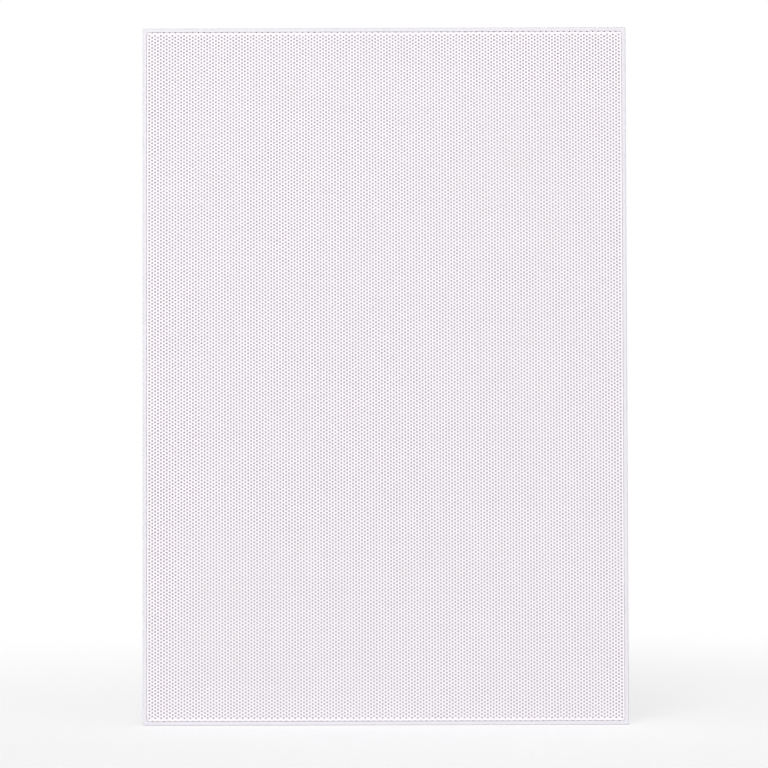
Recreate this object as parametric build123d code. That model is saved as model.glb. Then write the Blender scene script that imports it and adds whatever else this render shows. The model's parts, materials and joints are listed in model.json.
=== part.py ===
from build123d import *
import os
from math import radians, sqrt, tan

# An in-wall loudspeaker: a moulded frame that drops into a wall cut-out and carries a woofer,
# a swivelling dome tweeter, a crossover, two push terminals and six swing-out wall clamps,
# behind a perforated steel grille that magnets hold inside a thin lip.
# Millimetres. X points right, Y into the wall, Z up, and the front faces -Y.
# The origin is the middle of the cut-out, on the surface of the wall.

# Frame
SIDE_MARGIN = 6.5             # woofer flange to the collar's inner face
BOTTOM_MARGIN = 3.5           # woofer flange to the collar below it
DRIVER_GAP = 14.0             # between the flanges of the two drivers
TOP_MARGIN = 21.5             # tweeter flange to the collar above it
COLLAR_WALL = 2.5
COLLAR_CORNER = 6.0
CUTOUT_CLEARANCE = 1.0        # collar to the edge of the wall's cut-out
FLANGE_OVERLAP = 13.0         # flange past the edge of the cut-out
FLANGE_THICKNESS = 3.0
LIP_HEIGHT = 7.5              # front of the lip to the wall
LIP_WIDTH = 2.0
LIP_ROUND = 0.7
OUTER_CORNER = 0.8
BAFFLE_DEPTH = 7.0            # wall surface to the front of the baffle
BAFFLE_THICKNESS = 3.0
RIB_HEIGHT = 5.0
RIB_THICKNESS = 2.0
RIB_INSET = 1.5               # ends of the ribs to the towers and to the collar

# Grille
GRILLE_GAP = 0.12             # between the grille and the lip
GRILLE_SUNK = 0.3             # face of the grille below the front of the lip
GRILLE_SHEET = 0.7
GRILLE_BEND = 1.2             # outer radius of the folded edge
GRILLE_CORNER = 1.3
GRILLE_SEAT_GAP = 0.2         # folded rim to the flange
HOLE_DIAMETER = 1.0
HOLE_PITCH = 1.77             # down a column
COLUMN_PITCH = 1.5
HOLE_EDGE = 1.15              # least distance from a hole's centre to the edge of the grille
HOLE_STRIDE = 17              # one hole in this many, each way, is cut in the solid
SCRIM_THICKNESS = 0.3
SCRIM_INSET = 0.55            # edge of the cloth to the folded rim
MAGNET_RADIUS = 4.0
MAGNET_THICKNESS = 2.2
MAGNET_FIT = 0.1
MAGNET_BOSS_WALL = 1.4
MAGNET_CLEARANCE = 0.3        # top of the boss to the cloth
SIDE_MAGNET_Z = 95.0          # height of the magnets beside the baffle, from the middle
END_MAGNET_X = 60.0           # place of the magnets above and below the baffle

# Wall clamps
CLAMP_SCREW_RADIUS = 2.0
CLAMP_HEAD_RADIUS = 4.0
CLAMP_HEAD_HEIGHT = 2.8
CLAMP_HOLE_CLEARANCE = 0.2
CLAMP_THREAD_FIT = 0.05
CLAMP_OPEN = 40.0             # wall surface to the pad when the clamp is stowed
CLAMP_SIDE_MARGIN = 3.5       # boss of the arm to the collar's outer face
CLAMP_END_MARGIN = 4.5        # tip of a stowed arm to the collar above or below it
CLAMP_WOOFER_STEP = 8.0       # middle clamps below the top of the woofer
ARM_BOSS_RADIUS = 5.5
ARM_REACH = 21.0
ARM_ROOT_WIDTH = 9.6
ARM_TIP_WIDTH = 8.0
ARM_TIP_ROUND = 2.5
ARM_THICKNESS = 6.0
PAD_HEIGHT = 2.0
PAD_LENGTH = 7.0
TOWER_CLEARANCE = 0.5
TOWER_WALL = 2.5
TOWER_REACH = 8.0             # inner wall past the screw's axis
TOWER_BRIDGE = 2.5
TOWER_SPARE = 2.0             # stowed arm to the bridge
GUSSET_REACH = 7.0            # foot of a tower's gusset along the baffle
GUSSET_DEPTH = 20.0
GUSSET_THICKNESS = 2.0

# Woofer
WOOFER_RADIUS = 102.0         # flange of the basket
WOOFER_LAND = 9.0             # flange over the baffle
BASKET_SHEET = 1.5
BASKET_BEND = 0.6
BASKET_MOUTH = 15.0           # rim of the flange to the start of the side wall
SHELF_RADIUS = 56.0
SHELF_WIDTH = 12.0
SHELF_DEPTH = 44.0
BASE_RADIUS = 42.0
BASE_BORE = 24.0
BASE_DEPTH = 60.0
WINDOW_COUNT = 8
WINDOW_ANGLE = 23.0
WINDOW_MARGIN = 3.0           # window to the mouth and to the shelf
WINDOW_CORNER = 4.0
SURROUND_SHEET = 0.8
SURROUND_LAND = 8.0
ROLL_WIDTH = 13.0
CONE_LIP = 5.0
CONE_SHEET = 0.8
CONE_DEPTH = 31.0
CONE_NECK = 4.0
CAP_RADIUS = 27.0
CAP_HEIGHT = 9.0
CAP_SHEET = 0.8
CAP_LAND = 2.0
FORMER_BORE = 19.0            # inner radius of the voice coil's former
FORMER_WALL = 0.4
FORMER_LEAD = 3.0             # former past the neck of the cone
WINDING_BUILD = 0.6
WINDING_LENGTH = 14.0
FORMER_TAIL = 1.0
COIL_CLEARANCE = 0.5
TOP_PLATE_RADIUS = 44.0
TOP_PLATE_THICKNESS = 5.0
MAGNET_RING_RADIUS = 46.0
MAGNET_RING_BORE = 27.0
MAGNET_RING_THICKNESS = 15.0
YOKE_RADIUS = 43.0
YOKE_THICKNESS = 5.0
POLE_VENT = 7.0
VENT_FLARE = 2.5              # bevel at the mouth of the vent
MOTOR_EDGE = 0.8              # bevel of the plates and the ferrite ring
SPIDER_SHEET = 0.8
SPIDER_EDGE = 1.0             # start of the waves, in from the edge of the shelf
SPIDER_COLLAR = 5.0
SPIDER_WAVES = 4
SPIDER_SWING = 1.8
SPIDER_FIT = 0.2
SPIDER_MARGIN = 1.5           # rim of the spider to the basket's wall
GASKET_THICKNESS = 2.0
GASKET_WIDTH = 7.0
WOOFER_SCREW_COUNT = 8
WOOFER_SCREW_INSET = 3.8      # screws in from the rim of the flange
WOOFER_SCREW_LENGTH = 9.0
SCREW_BOSS_WALL = 2.3
SCREW_BOSS_HEIGHT = 8.0
HOLE_RIB_WIDTH = 2.5
HOLE_RIB_HEIGHT = 6.0

# Tweeter and its swivel
BALL_RADIUS = 30.0
BALL_WALL = 2.4
BALL_FACE = 11.0              # pivot to the front of the ball
BALL_TAIL = 14.0              # pivot to the open back of the ball
BALL_CLEARANCE = 0.6
BALL_RIM = 2.0                # wall round the faceplate
PIVOT_DEPTH = 16.0            # wall surface to the pivot
PIN_RADIUS = 1.8
PIN_FIT = 0.1
PIN_INSIDE = 0.8
SWIVEL_WALL = 5.4
SWIVEL_LAND = 6.0
SWIVEL_FLANGE = 2.0
SWIVEL_FLANGE_ROUND = 0.8
SWIVEL_CLEARANCE = 0.3
SWIVEL_PLAY = 0.1
SWIVEL_TAIL = 8.0             # swivel ring past the pivot
CLIP_THICKNESS = 1.5
CLIP_SEAT = 1.4
CLIP_WIDTH = 5.3
CLIP_OPENING = 10.0
FACEPLATE_FIT = 0.2
FACEPLATE_FLANGE = 2.5
FACEPLATE_SPIGOT = 2.5
LEDGE_WIDTH = 3.2
HORN_MOUTH = 22.0
HORN_THROAT = 16.5
HORN_SAG = 0.8
DOME_RADIUS = 13.0
DOME_HEIGHT = 4.5
DOME_ROLL_HEIGHT = 1.0
DOME_SHEET = 0.4
DOME_LAND = 4.5
TWEETER_FORMER_BORE = 12.4
TWEETER_FORMER_WALL = 0.3
TWEETER_WINDING_BUILD = 0.3
TWEETER_COIL_START = 0.1      # diaphragm to the former
TWEETER_COIL_LENGTH = 4.5
TWEETER_WINDING_LENGTH = 3.0
TWEETER_COIL_CLEARANCE = 0.4
TWEETER_MOTOR_RADIUS = 21.5
TWEETER_PLATE_THICKNESS = 3.0
TWEETER_MAGNET_BORE = 16.0
TWEETER_MAGNET_THICKNESS = 7.0
TWEETER_YOKE_THICKNESS = 4.0
TWEETER_POLE_STEP = 0.5       # pole below the face of the top plate
TWEETER_MOTOR_EDGE = 0.5

# Tag boards of the drivers
TAG_BOARD_WIDTH = 22.0
TAG_BOARD_HEIGHT = 9.0
TAG_BOARD_THICKNESS = 1.5
TAG_SPACING = 12.0
TAG_WIDTH = 4.0
TAG_LENGTH = 14.0
TAG_THICKNESS = 0.8

# Crossover
BOARD_GAP = 6.0               # flange of the tweeter to the boards beside it
BOARD_DROP = 6.0              # middle of the boards below the tweeter
BOARD_WIDTH = 42.0
BOARD_HEIGHT = 64.0
BOARD_THICKNESS = 1.6
BOARD_HOLE_INSET = 4.0
STANDOFF_HEIGHT = 6.0
STANDOFF_RADIUS = 3.5
SMALL_SCREW_RADIUS = 1.5
SMALL_SCREW_HEAD = 2.8
SMALL_SCREW_HEAD_HEIGHT = 2.0
SMALL_SCREW_LENGTH = 5.0
SCREW_FIT = 0.1
SCREW_CLEARANCE = 0.3
BOBBIN_RADIUS = 14.0
BOBBIN_CORE = 6.0
BOBBIN_BORE = 2.5
BOBBIN_HEIGHT = 16.0
BOBBIN_FLANGE = 1.5
INDUCTOR_WINDING = 12.5
INDUCTOR_DROP = 13.0          # inductor below the middle of the board
LARGE_CAP_RADIUS = 6.5
LARGE_CAP_LENGTH = 26.0
LARGE_CAP_RISE = 9.0
SMALL_CAP_RADIUS = 3.6
SMALL_CAP_LENGTH = 20.0
SMALL_CAP_RISE = 27.5
CAP_END_ROUND = 1.0
RESISTOR_SIZE = 7.0
RESISTOR_LENGTH = 22.0
RESISTOR_RISE = 19.5
RESISTOR_ROUND = 0.6
LEAD_RADIUS = 0.45
LEAD_REACH = 3.0
LEAD_BEND = 1.2
CAN_LIFT = 0.1                # cans of the capacitors above the board

# Push terminals
TERMINAL_WIDTH = 40.0
TERMINAL_HEIGHT = 28.0
TERMINAL_THICKNESS = 3.0
TERMINAL_CORNER = 3.0
TERMINAL_SPACING = 18.0
TERMINAL_WALL = 2.0
TERMINAL_WALL_HEIGHT = 9.0
POST_RADIUS = 2.5
POST_BASE_RADIUS = 4.4
POST_BASE_HEIGHT = 1.0
POST_HEAD_RADIUS = 3.3
POST_HEAD_HEIGHT = 1.2
POST_FIT = 0.1
SPRING_HEIGHT = 6.0
SPRING_RADIUS = 3.3
SPRING_WIRE = 0.4
SPRING_TURNS = 3
SPRING_SEAT = 0.05
TERMINAL_CAP_RADIUS = 5.4
TERMINAL_CAP_LENGTH = 11.0
TERMINAL_CAP_ROUND = 0.8
TERMINAL_CAP_SEAT = 7.0       # foot of the cap to the shoulder under the post's head
TERMINAL_CAP_WIRE = 3.5       # foot of the cap to its wire hole
TERMINAL_TRAVEL = 3.5
FLUTE_COUNT = 8               # grooves for the fingers round a cap
FLUTE_RADIUS = 0.5
WIRE_HOLE_RADIUS = 1.2

# Screw heads
CROSS_WIDTH = 0.3             # share of the head's radius
CROSS_LENGTH = 1.2
CROSS_DEPTH = 0.5             # share of the head's height
HEAD_ROUND = 0.45

# Places that follow from the sizes above
SWIVEL_BORE = BALL_RADIUS + BALL_CLEARANCE
SWIVEL_RADIUS = SWIVEL_BORE + SWIVEL_WALL
TWEETER_RADIUS = SWIVEL_RADIUS + SWIVEL_LAND
INNER_WIDTH = 2 * (WOOFER_RADIUS + SIDE_MARGIN)
INNER_HEIGHT = BOTTOM_MARGIN + 2 * WOOFER_RADIUS + DRIVER_GAP + 2 * TWEETER_RADIUS + TOP_MARGIN
COLLAR_WIDTH = INNER_WIDTH + 2 * COLLAR_WALL
COLLAR_HEIGHT = INNER_HEIGHT + 2 * COLLAR_WALL
OUTER_WIDTH = COLLAR_WIDTH + 2 * (CUTOUT_CLEARANCE + FLANGE_OVERLAP)
OUTER_HEIGHT = COLLAR_HEIGHT + 2 * (CUTOUT_CLEARANCE + FLANGE_OVERLAP)
WOOFER_Z = BOTTOM_MARGIN + WOOFER_RADIUS - INNER_HEIGHT / 2
TWEETER_Z = WOOFER_Z + WOOFER_RADIUS + DRIVER_GAP + TWEETER_RADIUS
BAFFLE_BACK = BAFFLE_DEPTH + BAFFLE_THICKNESS
WOOFER_HOLE = WOOFER_RADIUS - WOOFER_LAND

GRILLE_WIDTH = OUTER_WIDTH - 2 * (LIP_WIDTH + GRILLE_GAP)
GRILLE_HEIGHT = OUTER_HEIGHT - 2 * (LIP_WIDTH + GRILLE_GAP)
GRILLE_FRONT = GRILLE_SUNK - LIP_HEIGHT
GRILLE_BACK = GRILLE_FRONT + GRILLE_SHEET
GRILLE_RIM_END = -FLANGE_THICKNESS - GRILLE_SEAT_GAP
MAGNET_TOP = GRILLE_BACK + SCRIM_THICKNESS + MAGNET_CLEARANCE
FLANGE_MID_X = (INNER_WIDTH + OUTER_WIDTH - 2 * LIP_WIDTH) / 4
FLANGE_MID_Z = (INNER_HEIGHT + OUTER_HEIGHT - 2 * LIP_WIDTH) / 4
MAGNET_PLACES = [(side * FLANGE_MID_X, end * SIDE_MAGNET_Z) for side in (-1, 1) for end in (-1, 1)]
MAGNET_PLACES += [(side * END_MAGNET_X, end * FLANGE_MID_Z) for side in (-1, 1) for end in (-1, 1)]

CLAMP_X = COLLAR_WIDTH / 2 - CLAMP_SIDE_MARGIN - ARM_BOSS_RADIUS
CLAMP_END_Z = INNER_HEIGHT / 2 - ARM_REACH - CLAMP_END_MARGIN
CLAMP_HEIGHTS = {
    "top": CLAMP_END_Z,
    "middle": WOOFER_Z + WOOFER_RADIUS - CLAMP_WOOFER_STEP,
    "bottom": -CLAMP_END_Z,
}
ARM_FRONT = CLAMP_OPEN + PAD_HEIGHT
ARM_BACK = ARM_FRONT + ARM_THICKNESS
TOWER_INNER = ARM_BOSS_RADIUS + TOWER_CLEARANCE
TOWER_OUTER = TOWER_INNER + TOWER_WALL
TOWER_END = ARM_BACK + TOWER_SPARE + TOWER_BRIDGE

FLANGE_FACE = BAFFLE_DEPTH - BASKET_SHEET
SHELF_FACE = BAFFLE_DEPTH + SHELF_DEPTH
BASE_FACE = BAFFLE_DEPTH + BASE_DEPTH
MOUTH_RADIUS = WOOFER_RADIUS - BASKET_MOUTH
ROLL_OUTER = MOUTH_RADIUS - SURROUND_SHEET
ROLL_INNER = ROLL_OUTER - ROLL_WIDTH
FORMER_RADIUS = FORMER_BORE + FORMER_WALL
CONE_RIM = ROLL_INNER - CONE_LIP
CONE_NECK_Y = FLANGE_FACE + CONE_DEPTH
TOP_PLATE_FACE = BASE_FACE + BASKET_SHEET
TOP_PLATE_BACK = TOP_PLATE_FACE + TOP_PLATE_THICKNESS
MAGNET_RING_BACK = TOP_PLATE_BACK + MAGNET_RING_THICKNESS
WINDING_MID = (TOP_PLATE_FACE + TOP_PLATE_BACK) / 2
WOOFER_SCREW_CIRCLE = WOOFER_RADIUS - WOOFER_SCREW_INSET

BALL_FRONT = PIVOT_DEPTH - BALL_FACE
BALL_MOUTH = sqrt(BALL_RADIUS ** 2 - BALL_FACE ** 2)
FACEPLATE_RADIUS = BALL_MOUTH - BALL_RIM - FACEPLATE_FIT
SPIGOT_RADIUS = FACEPLATE_RADIUS - LEDGE_WIDTH
DIAPHRAGM_FACE = BALL_FRONT + FACEPLATE_FLANGE + FACEPLATE_SPIGOT
TWEETER_PLATE_FACE = DIAPHRAGM_FACE + DOME_SHEET
TWEETER_PLATE_BACK = TWEETER_PLATE_FACE + TWEETER_PLATE_THICKNESS
TWEETER_MAGNET_BACK = TWEETER_PLATE_BACK + TWEETER_MAGNET_THICKNESS
TWEETER_YOKE_BACK = TWEETER_MAGNET_BACK + TWEETER_YOKE_THICKNESS
TWEETER_FORMER_RADIUS = TWEETER_FORMER_BORE + TWEETER_FORMER_WALL
TWEETER_WINDING_RADIUS = TWEETER_FORMER_RADIUS + TWEETER_WINDING_BUILD
CLIP_FACE = BAFFLE_BACK + SWIVEL_PLAY

BOARD_X = TWEETER_RADIUS + BOARD_GAP + BOARD_WIDTH / 2
BOARD_Z = TWEETER_Z - BOARD_DROP
BOARD_FACE = BAFFLE_BACK + STANDOFF_HEIGHT
BOARD_BACK = BOARD_FACE + BOARD_THICKNESS
TERMINAL_X = -(TWEETER_RADIUS + BOARD_GAP + TERMINAL_WIDTH / 2)
TERMINAL_BACK = BOARD_FACE + TERMINAL_THICKNESS
POST_BASE_TOP = TERMINAL_BACK + POST_BASE_HEIGHT
CAP_FOOT = POST_BASE_TOP + SPRING_HEIGHT
POST_NECK = CAP_FOOT + TERMINAL_CAP_SEAT + POST_FIT


def slab(sketch, front, back):
    """A sketch drawn in X and Z, given depth from one Y to another."""
    return Pos(0, back, 0) * extrude(Plane.XZ * sketch, amount=back - front)


def turned(profile, x=0.0, z=0.0):
    """A profile drawn as radius and Y, turned about a line along Y."""
    return Pos(x, 0, z) * revolve(profile, axis=Axis.Y)


def polygon(*points):
    return make_face(Polyline(*points, close=True))


def ring(outer, inner, front, back, x=0.0, z=0.0):
    return Pos(x, 0, z) * slab(Circle(outer) - Circle(inner), front, back)


def disc(radius, front, back, x=0.0, z=0.0):
    return Pos(x, 0, z) * slab(Circle(radius), front, back)


def bevelled_ring(outer, inner, front, back, edge, z):
    """A ring along Y whose outer edges are bevelled."""
    profile = polygon(
        (inner, front), (outer - edge, front), (outer, front + edge),
        (outer, back - edge), (outer - edge, back), (inner, back))
    return turned(profile, z=z)


def round_places(count, radius, x=0.0, z=0.0):
    """Places on a circle, half a step away from the horizontal."""
    spots = PolarLocations(radius, count, start_angle=180 / count)
    return [(x + spot.position.X, z + spot.position.Y) for spot in spots]


def corner_places(width, height, inset, x, z):
    across = width / 2 - inset
    upright = height / 2 - inset
    return [(x + side * across, z + end * upright) for side in (-1, 1) for end in (-1, 1)]


def screw(head_radius, head_height, shank_radius, seat, length, facing):
    """A round-headed screw along Y with a cross recess; facing is the side of its head."""
    head = disc(head_radius, -head_height, 0)
    head = fillet(head.faces().sort_by(Axis.Y)[0].edges(), HEAD_ROUND * head_height)
    bar = head_radius * CROSS_WIDTH
    cross = Rectangle(bar, head_radius * CROSS_LENGTH) + Rectangle(head_radius * CROSS_LENGTH, bar)
    head -= slab(cross, -head_height, -head_height * (1 - CROSS_DEPTH))
    whole = head + disc(shank_radius, 0, length)
    if facing > 0:
        whole = Rot(0, 0, 180) * whole
    return Pos(0, seat, 0) * whole


def tower():
    """The open L-shaped tower round a clamp on the right, its screw on the Y axis, and its gusset."""
    inner_wall = Pos(-TOWER_OUTER, -TOWER_OUTER) * Rectangle(
        TOWER_WALL, TOWER_OUTER + TOWER_REACH, align=(Align.MIN, Align.MIN))
    lower_wall = Pos(-TOWER_OUTER, -TOWER_OUTER) * Rectangle(
        TOWER_OUTER + TOWER_INNER, TOWER_WALL, align=(Align.MIN, Align.MIN))
    bridge = Pos(-TOWER_OUTER, -TOWER_OUTER) * Rectangle(
        TOWER_OUTER + TOWER_INNER, TOWER_OUTER + TOWER_INNER, align=(Align.MIN, Align.MIN))
    bridge -= Circle(CLAMP_SCREW_RADIUS + CLAMP_HOLE_CLEARANCE)
    gusset = polygon(
        (-TOWER_OUTER - GUSSET_REACH, BAFFLE_BACK), (-TOWER_OUTER, BAFFLE_BACK),
        (-TOWER_OUTER, BAFFLE_BACK + GUSSET_DEPTH))
    whole = slab(inner_wall + lower_wall, BAFFLE_BACK, TOWER_END)
    whole += slab(bridge, TOWER_END - TOWER_BRIDGE, TOWER_END)
    return whole + extrude(gusset, amount=GUSSET_THICKNESS / 2, both=True)


def clamp_places():
    """Name and place of each clamp; those on the left are turned half round."""
    for level, height in CLAMP_HEIGHTS.items():
        yield f"{level}_right", Pos(CLAMP_X, 0, height)
        yield f"{level}_left", Pos(-CLAMP_X, 0, height) * Rot(0, 180, 0)


def frame():
    block = slab(RectangleRounded(OUTER_WIDTH, OUTER_HEIGHT, OUTER_CORNER), -LIP_HEIGHT, 0)
    block = fillet(block.faces().sort_by(Axis.Y)[0].edges(), LIP_ROUND)
    recess = RectangleRounded(
        GRILLE_WIDTH + 2 * GRILLE_GAP, GRILLE_HEIGHT + 2 * GRILLE_GAP, GRILLE_CORNER + GRILLE_GAP)
    block -= slab(recess, -LIP_HEIGHT, -FLANGE_THICKNESS)
    block += slab(RectangleRounded(COLLAR_WIDTH, COLLAR_HEIGHT, COLLAR_CORNER), 0, BAFFLE_BACK)
    well = RectangleRounded(INNER_WIDTH, INNER_HEIGHT, COLLAR_CORNER - COLLAR_WALL)
    block -= slab(well, -FLANGE_THICKNESS, BAFFLE_DEPTH)

    # Ribs behind the baffle
    rib_z = WOOFER_Z + WOOFER_RADIUS + DRIVER_GAP / 2
    rib_span = 2 * (CLAMP_X - TOWER_OUTER - RIB_INSET)
    rib_x = TWEETER_RADIUS + BOARD_GAP / 2
    rib_top = INNER_HEIGHT / 2 - RIB_INSET
    ribs = Pos(0, rib_z) * Rectangle(rib_span, RIB_THICKNESS)
    for side in (-1, 1):
        ribs += Pos(side * rib_x, (rib_z + rib_top) / 2) * Rectangle(RIB_THICKNESS, rib_top - rib_z)
    block += slab(ribs, BAFFLE_BACK, BAFFLE_BACK + RIB_HEIGHT)
    hole_rib = BAFFLE_BACK + HOLE_RIB_HEIGHT
    block += ring(WOOFER_HOLE + HOLE_RIB_WIDTH, WOOFER_HOLE, BAFFLE_BACK, hole_rib, z=WOOFER_Z)

    # Bosses for the woofer's screws, the boards and the grille's magnets
    boss_radius = SMALL_SCREW_RADIUS + SCREW_FIT + SCREW_BOSS_WALL
    boss_end = BAFFLE_BACK + SCREW_BOSS_HEIGHT
    pilot = SMALL_SCREW_RADIUS + SCREW_FIT
    for x, z in round_places(WOOFER_SCREW_COUNT, WOOFER_SCREW_CIRCLE, z=WOOFER_Z):
        block += disc(boss_radius, BAFFLE_BACK, boss_end, x, z)
        block -= disc(pilot, BAFFLE_DEPTH, boss_end, x, z)
    for x, z in board_screw_places() + terminal_screw_places():
        block += disc(STANDOFF_RADIUS, BAFFLE_BACK, BOARD_FACE, x, z)
        block -= disc(pilot, BAFFLE_BACK, BOARD_FACE, x, z)
    for x, z in MAGNET_PLACES:
        block += disc(MAGNET_RADIUS + MAGNET_FIT + MAGNET_BOSS_WALL, MAGNET_TOP, -FLANGE_THICKNESS, x, z)
        block -= disc(MAGNET_RADIUS + MAGNET_FIT, MAGNET_TOP, MAGNET_TOP + MAGNET_THICKNESS, x, z)

    # Driver openings and clamp towers
    block -= disc(WOOFER_HOLE, BAFFLE_DEPTH, hole_rib, z=WOOFER_Z)
    block -= disc(SWIVEL_RADIUS + SWIVEL_CLEARANCE, BAFFLE_DEPTH, BAFFLE_BACK, z=TWEETER_Z)
    screw_hole = disc(CLAMP_SCREW_RADIUS + CLAMP_HOLE_CLEARANCE, BAFFLE_DEPTH, BAFFLE_BACK)
    for _, place in clamp_places():
        block += place * tower()
        block -= place * screw_hole
    return block


def grille():
    """A folded steel tray. Its lattice of holes runs edge to edge; a thinned share is cut here."""
    tray = slab(RectangleRounded(GRILLE_WIDTH, GRILLE_HEIGHT, GRILLE_CORNER), GRILLE_FRONT, GRILLE_RIM_END)
    tray = fillet(tray.faces().sort_by(Axis.Y)[0].edges(), GRILLE_BEND)
    hollow = slab(
        RectangleRounded(
            GRILLE_WIDTH - 2 * GRILLE_SHEET, GRILLE_HEIGHT - 2 * GRILLE_SHEET, GRILLE_CORNER - GRILLE_SHEET),
        GRILLE_BACK, GRILLE_RIM_END)
    hollow = fillet(hollow.faces().sort_by(Axis.Y)[0].edges(), GRILLE_BEND - GRILLE_SHEET)
    tray -= hollow
    columns = int((GRILLE_WIDTH / 2 - HOLE_EDGE) / COLUMN_PITCH / HOLE_STRIDE)
    rows = int((GRILLE_HEIGHT / 2 - HOLE_EDGE) / HOLE_PITCH / HOLE_STRIDE - 0.5)
    holes = Sketch()
    for column in range(-columns * HOLE_STRIDE, columns * HOLE_STRIDE + 1, HOLE_STRIDE):
        stagger = 0.5 * (column % 2)
        for row in range(-rows * HOLE_STRIDE, rows * HOLE_STRIDE + 1, HOLE_STRIDE):
            holes += Pos(column * COLUMN_PITCH, (row + stagger) * HOLE_PITCH) * Circle(HOLE_DIAMETER / 2)
    return tray - slab(holes, GRILLE_FRONT, GRILLE_BACK)


def grille_scrim():
    """The cloth glued to the back of the grille's sheet."""
    margin = 2 * (GRILLE_SHEET + SCRIM_INSET)
    cloth = Rectangle(GRILLE_WIDTH - margin, GRILLE_HEIGHT - margin)
    return slab(cloth, GRILLE_BACK, GRILLE_BACK + SCRIM_THICKNESS)


def grille_magnets():
    return [disc(MAGNET_RADIUS, MAGNET_TOP, MAGNET_TOP + MAGNET_THICKNESS, x, z) for x, z in MAGNET_PLACES]


def clamp_arm():
    """A clamp's arm, stowed upright, threaded on a screw along the Y axis."""
    bar = polygon(
        (-ARM_ROOT_WIDTH / 2, 0), (ARM_ROOT_WIDTH / 2, 0),
        (ARM_TIP_WIDTH / 2, ARM_REACH), (-ARM_TIP_WIDTH / 2, ARM_REACH))
    bar = fillet(bar.vertices().sort_by(Axis.Y)[-2:], ARM_TIP_ROUND)
    tip = bar & Pos(0, ARM_REACH) * Rectangle(ARM_ROOT_WIDTH, 2 * PAD_LENGTH)
    arm = slab(bar, ARM_FRONT, ARM_BACK) + slab(tip, CLAMP_OPEN, ARM_FRONT)
    arm += disc(ARM_BOSS_RADIUS, CLAMP_OPEN, ARM_BACK)
    return arm - disc(CLAMP_SCREW_RADIUS + CLAMP_THREAD_FIT, CLAMP_OPEN, ARM_BACK)


def clamp_screw():
    length = TOWER_END - BAFFLE_DEPTH
    return screw(CLAMP_HEAD_RADIUS, CLAMP_HEAD_HEIGHT, CLAMP_SCREW_RADIUS, BAFFLE_DEPTH, length, -1)


def woofer_basket():
    """A pressed steel basket: flange, sloping side with windows, spider shelf and base."""
    back = BASKET_SHEET
    profile = polygon(
        (WOOFER_RADIUS, FLANGE_FACE), (WOOFER_RADIUS, BAFFLE_DEPTH),
        (MOUTH_RADIUS + back, BAFFLE_DEPTH), (SHELF_RADIUS + back, SHELF_FACE + back),
        (SHELF_RADIUS - SHELF_WIDTH + back, SHELF_FACE + back), (BASE_RADIUS + back, BASE_FACE + back),
        (BASE_BORE, BASE_FACE + back), (BASE_BORE, BASE_FACE), (BASE_RADIUS, BASE_FACE),
        (SHELF_RADIUS - SHELF_WIDTH, SHELF_FACE), (SHELF_RADIUS, SHELF_FACE), (MOUTH_RADIUS, FLANGE_FACE))
    basket = turned(fillet(profile.vertices(), BASKET_BEND))
    spread = WOOFER_RADIUS * tan(radians(WINDOW_ANGLE / 2))
    wedge = polygon((0, 0), (spread, WOOFER_RADIUS), (-spread, WOOFER_RADIUS))
    window = wedge & (Circle(MOUTH_RADIUS - WINDOW_MARGIN) - Circle(SHELF_RADIUS + back + WINDOW_MARGIN))
    window = fillet(window.vertices(), WINDOW_CORNER)
    for spot in PolarLocations(0, WINDOW_COUNT):
        basket -= slab(spot * window, BAFFLE_DEPTH, SHELF_FACE + back)
    for x, z in round_places(WOOFER_SCREW_COUNT, WOOFER_SCREW_CIRCLE):
        basket -= disc(SMALL_SCREW_RADIUS + SCREW_CLEARANCE, FLANGE_FACE, BAFFLE_DEPTH, x, z)
    return Pos(0, 0, WOOFER_Z) * basket


def woofer_surround():
    """A half roll of rubber between the flange of the basket and the lip of the cone."""
    front = FLANGE_FACE - SURROUND_SHEET
    middle = (ROLL_OUTER + ROLL_INNER) / 2
    inner_rise = ROLL_WIDTH / 2 - SURROUND_SHEET
    outline = Curve() + [
        Line((ROLL_OUTER + SURROUND_LAND, FLANGE_FACE), (ROLL_OUTER + SURROUND_LAND, front)),
        Line((ROLL_OUTER + SURROUND_LAND, front), (ROLL_OUTER, front)),
        ThreePointArc((ROLL_OUTER, front), (middle, front - ROLL_WIDTH / 2), (ROLL_INNER, front)),
        Line((ROLL_INNER, front), (CONE_RIM, front)),
        Line((CONE_RIM, front), (CONE_RIM, FLANGE_FACE)),
        Line((CONE_RIM, FLANGE_FACE), (middle - inner_rise, FLANGE_FACE)),
        Line((middle - inner_rise, FLANGE_FACE), (middle - inner_rise, front)),
        ThreePointArc(
            (middle - inner_rise, front), (middle, front - inner_rise), (middle + inner_rise, front)),
        Line((middle + inner_rise, front), (middle + inner_rise, FLANGE_FACE)),
        Line((middle + inner_rise, FLANGE_FACE), (ROLL_OUTER + SURROUND_LAND, FLANGE_FACE)),
    ]
    return turned(make_face(outline), z=WOOFER_Z)


def cone_front(radius):
    """Depth of the cone's front face at a radius."""
    return FLANGE_FACE + CONE_DEPTH * (CONE_RIM - radius) / (CONE_RIM - FORMER_RADIUS)


def woofer_cone():
    profile = polygon(
        (ROLL_INNER, FLANGE_FACE), (ROLL_INNER, FLANGE_FACE + CONE_SHEET),
        (CONE_RIM, FLANGE_FACE + CONE_SHEET), (FORMER_RADIUS + CONE_SHEET, CONE_NECK_Y + CONE_SHEET),
        (FORMER_RADIUS + CONE_SHEET, CONE_NECK_Y + CONE_NECK), (FORMER_RADIUS, CONE_NECK_Y + CONE_NECK),
        (FORMER_RADIUS, CONE_NECK_Y), (CONE_RIM, FLANGE_FACE))
    return turned(profile, z=WOOFER_Z)


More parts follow.
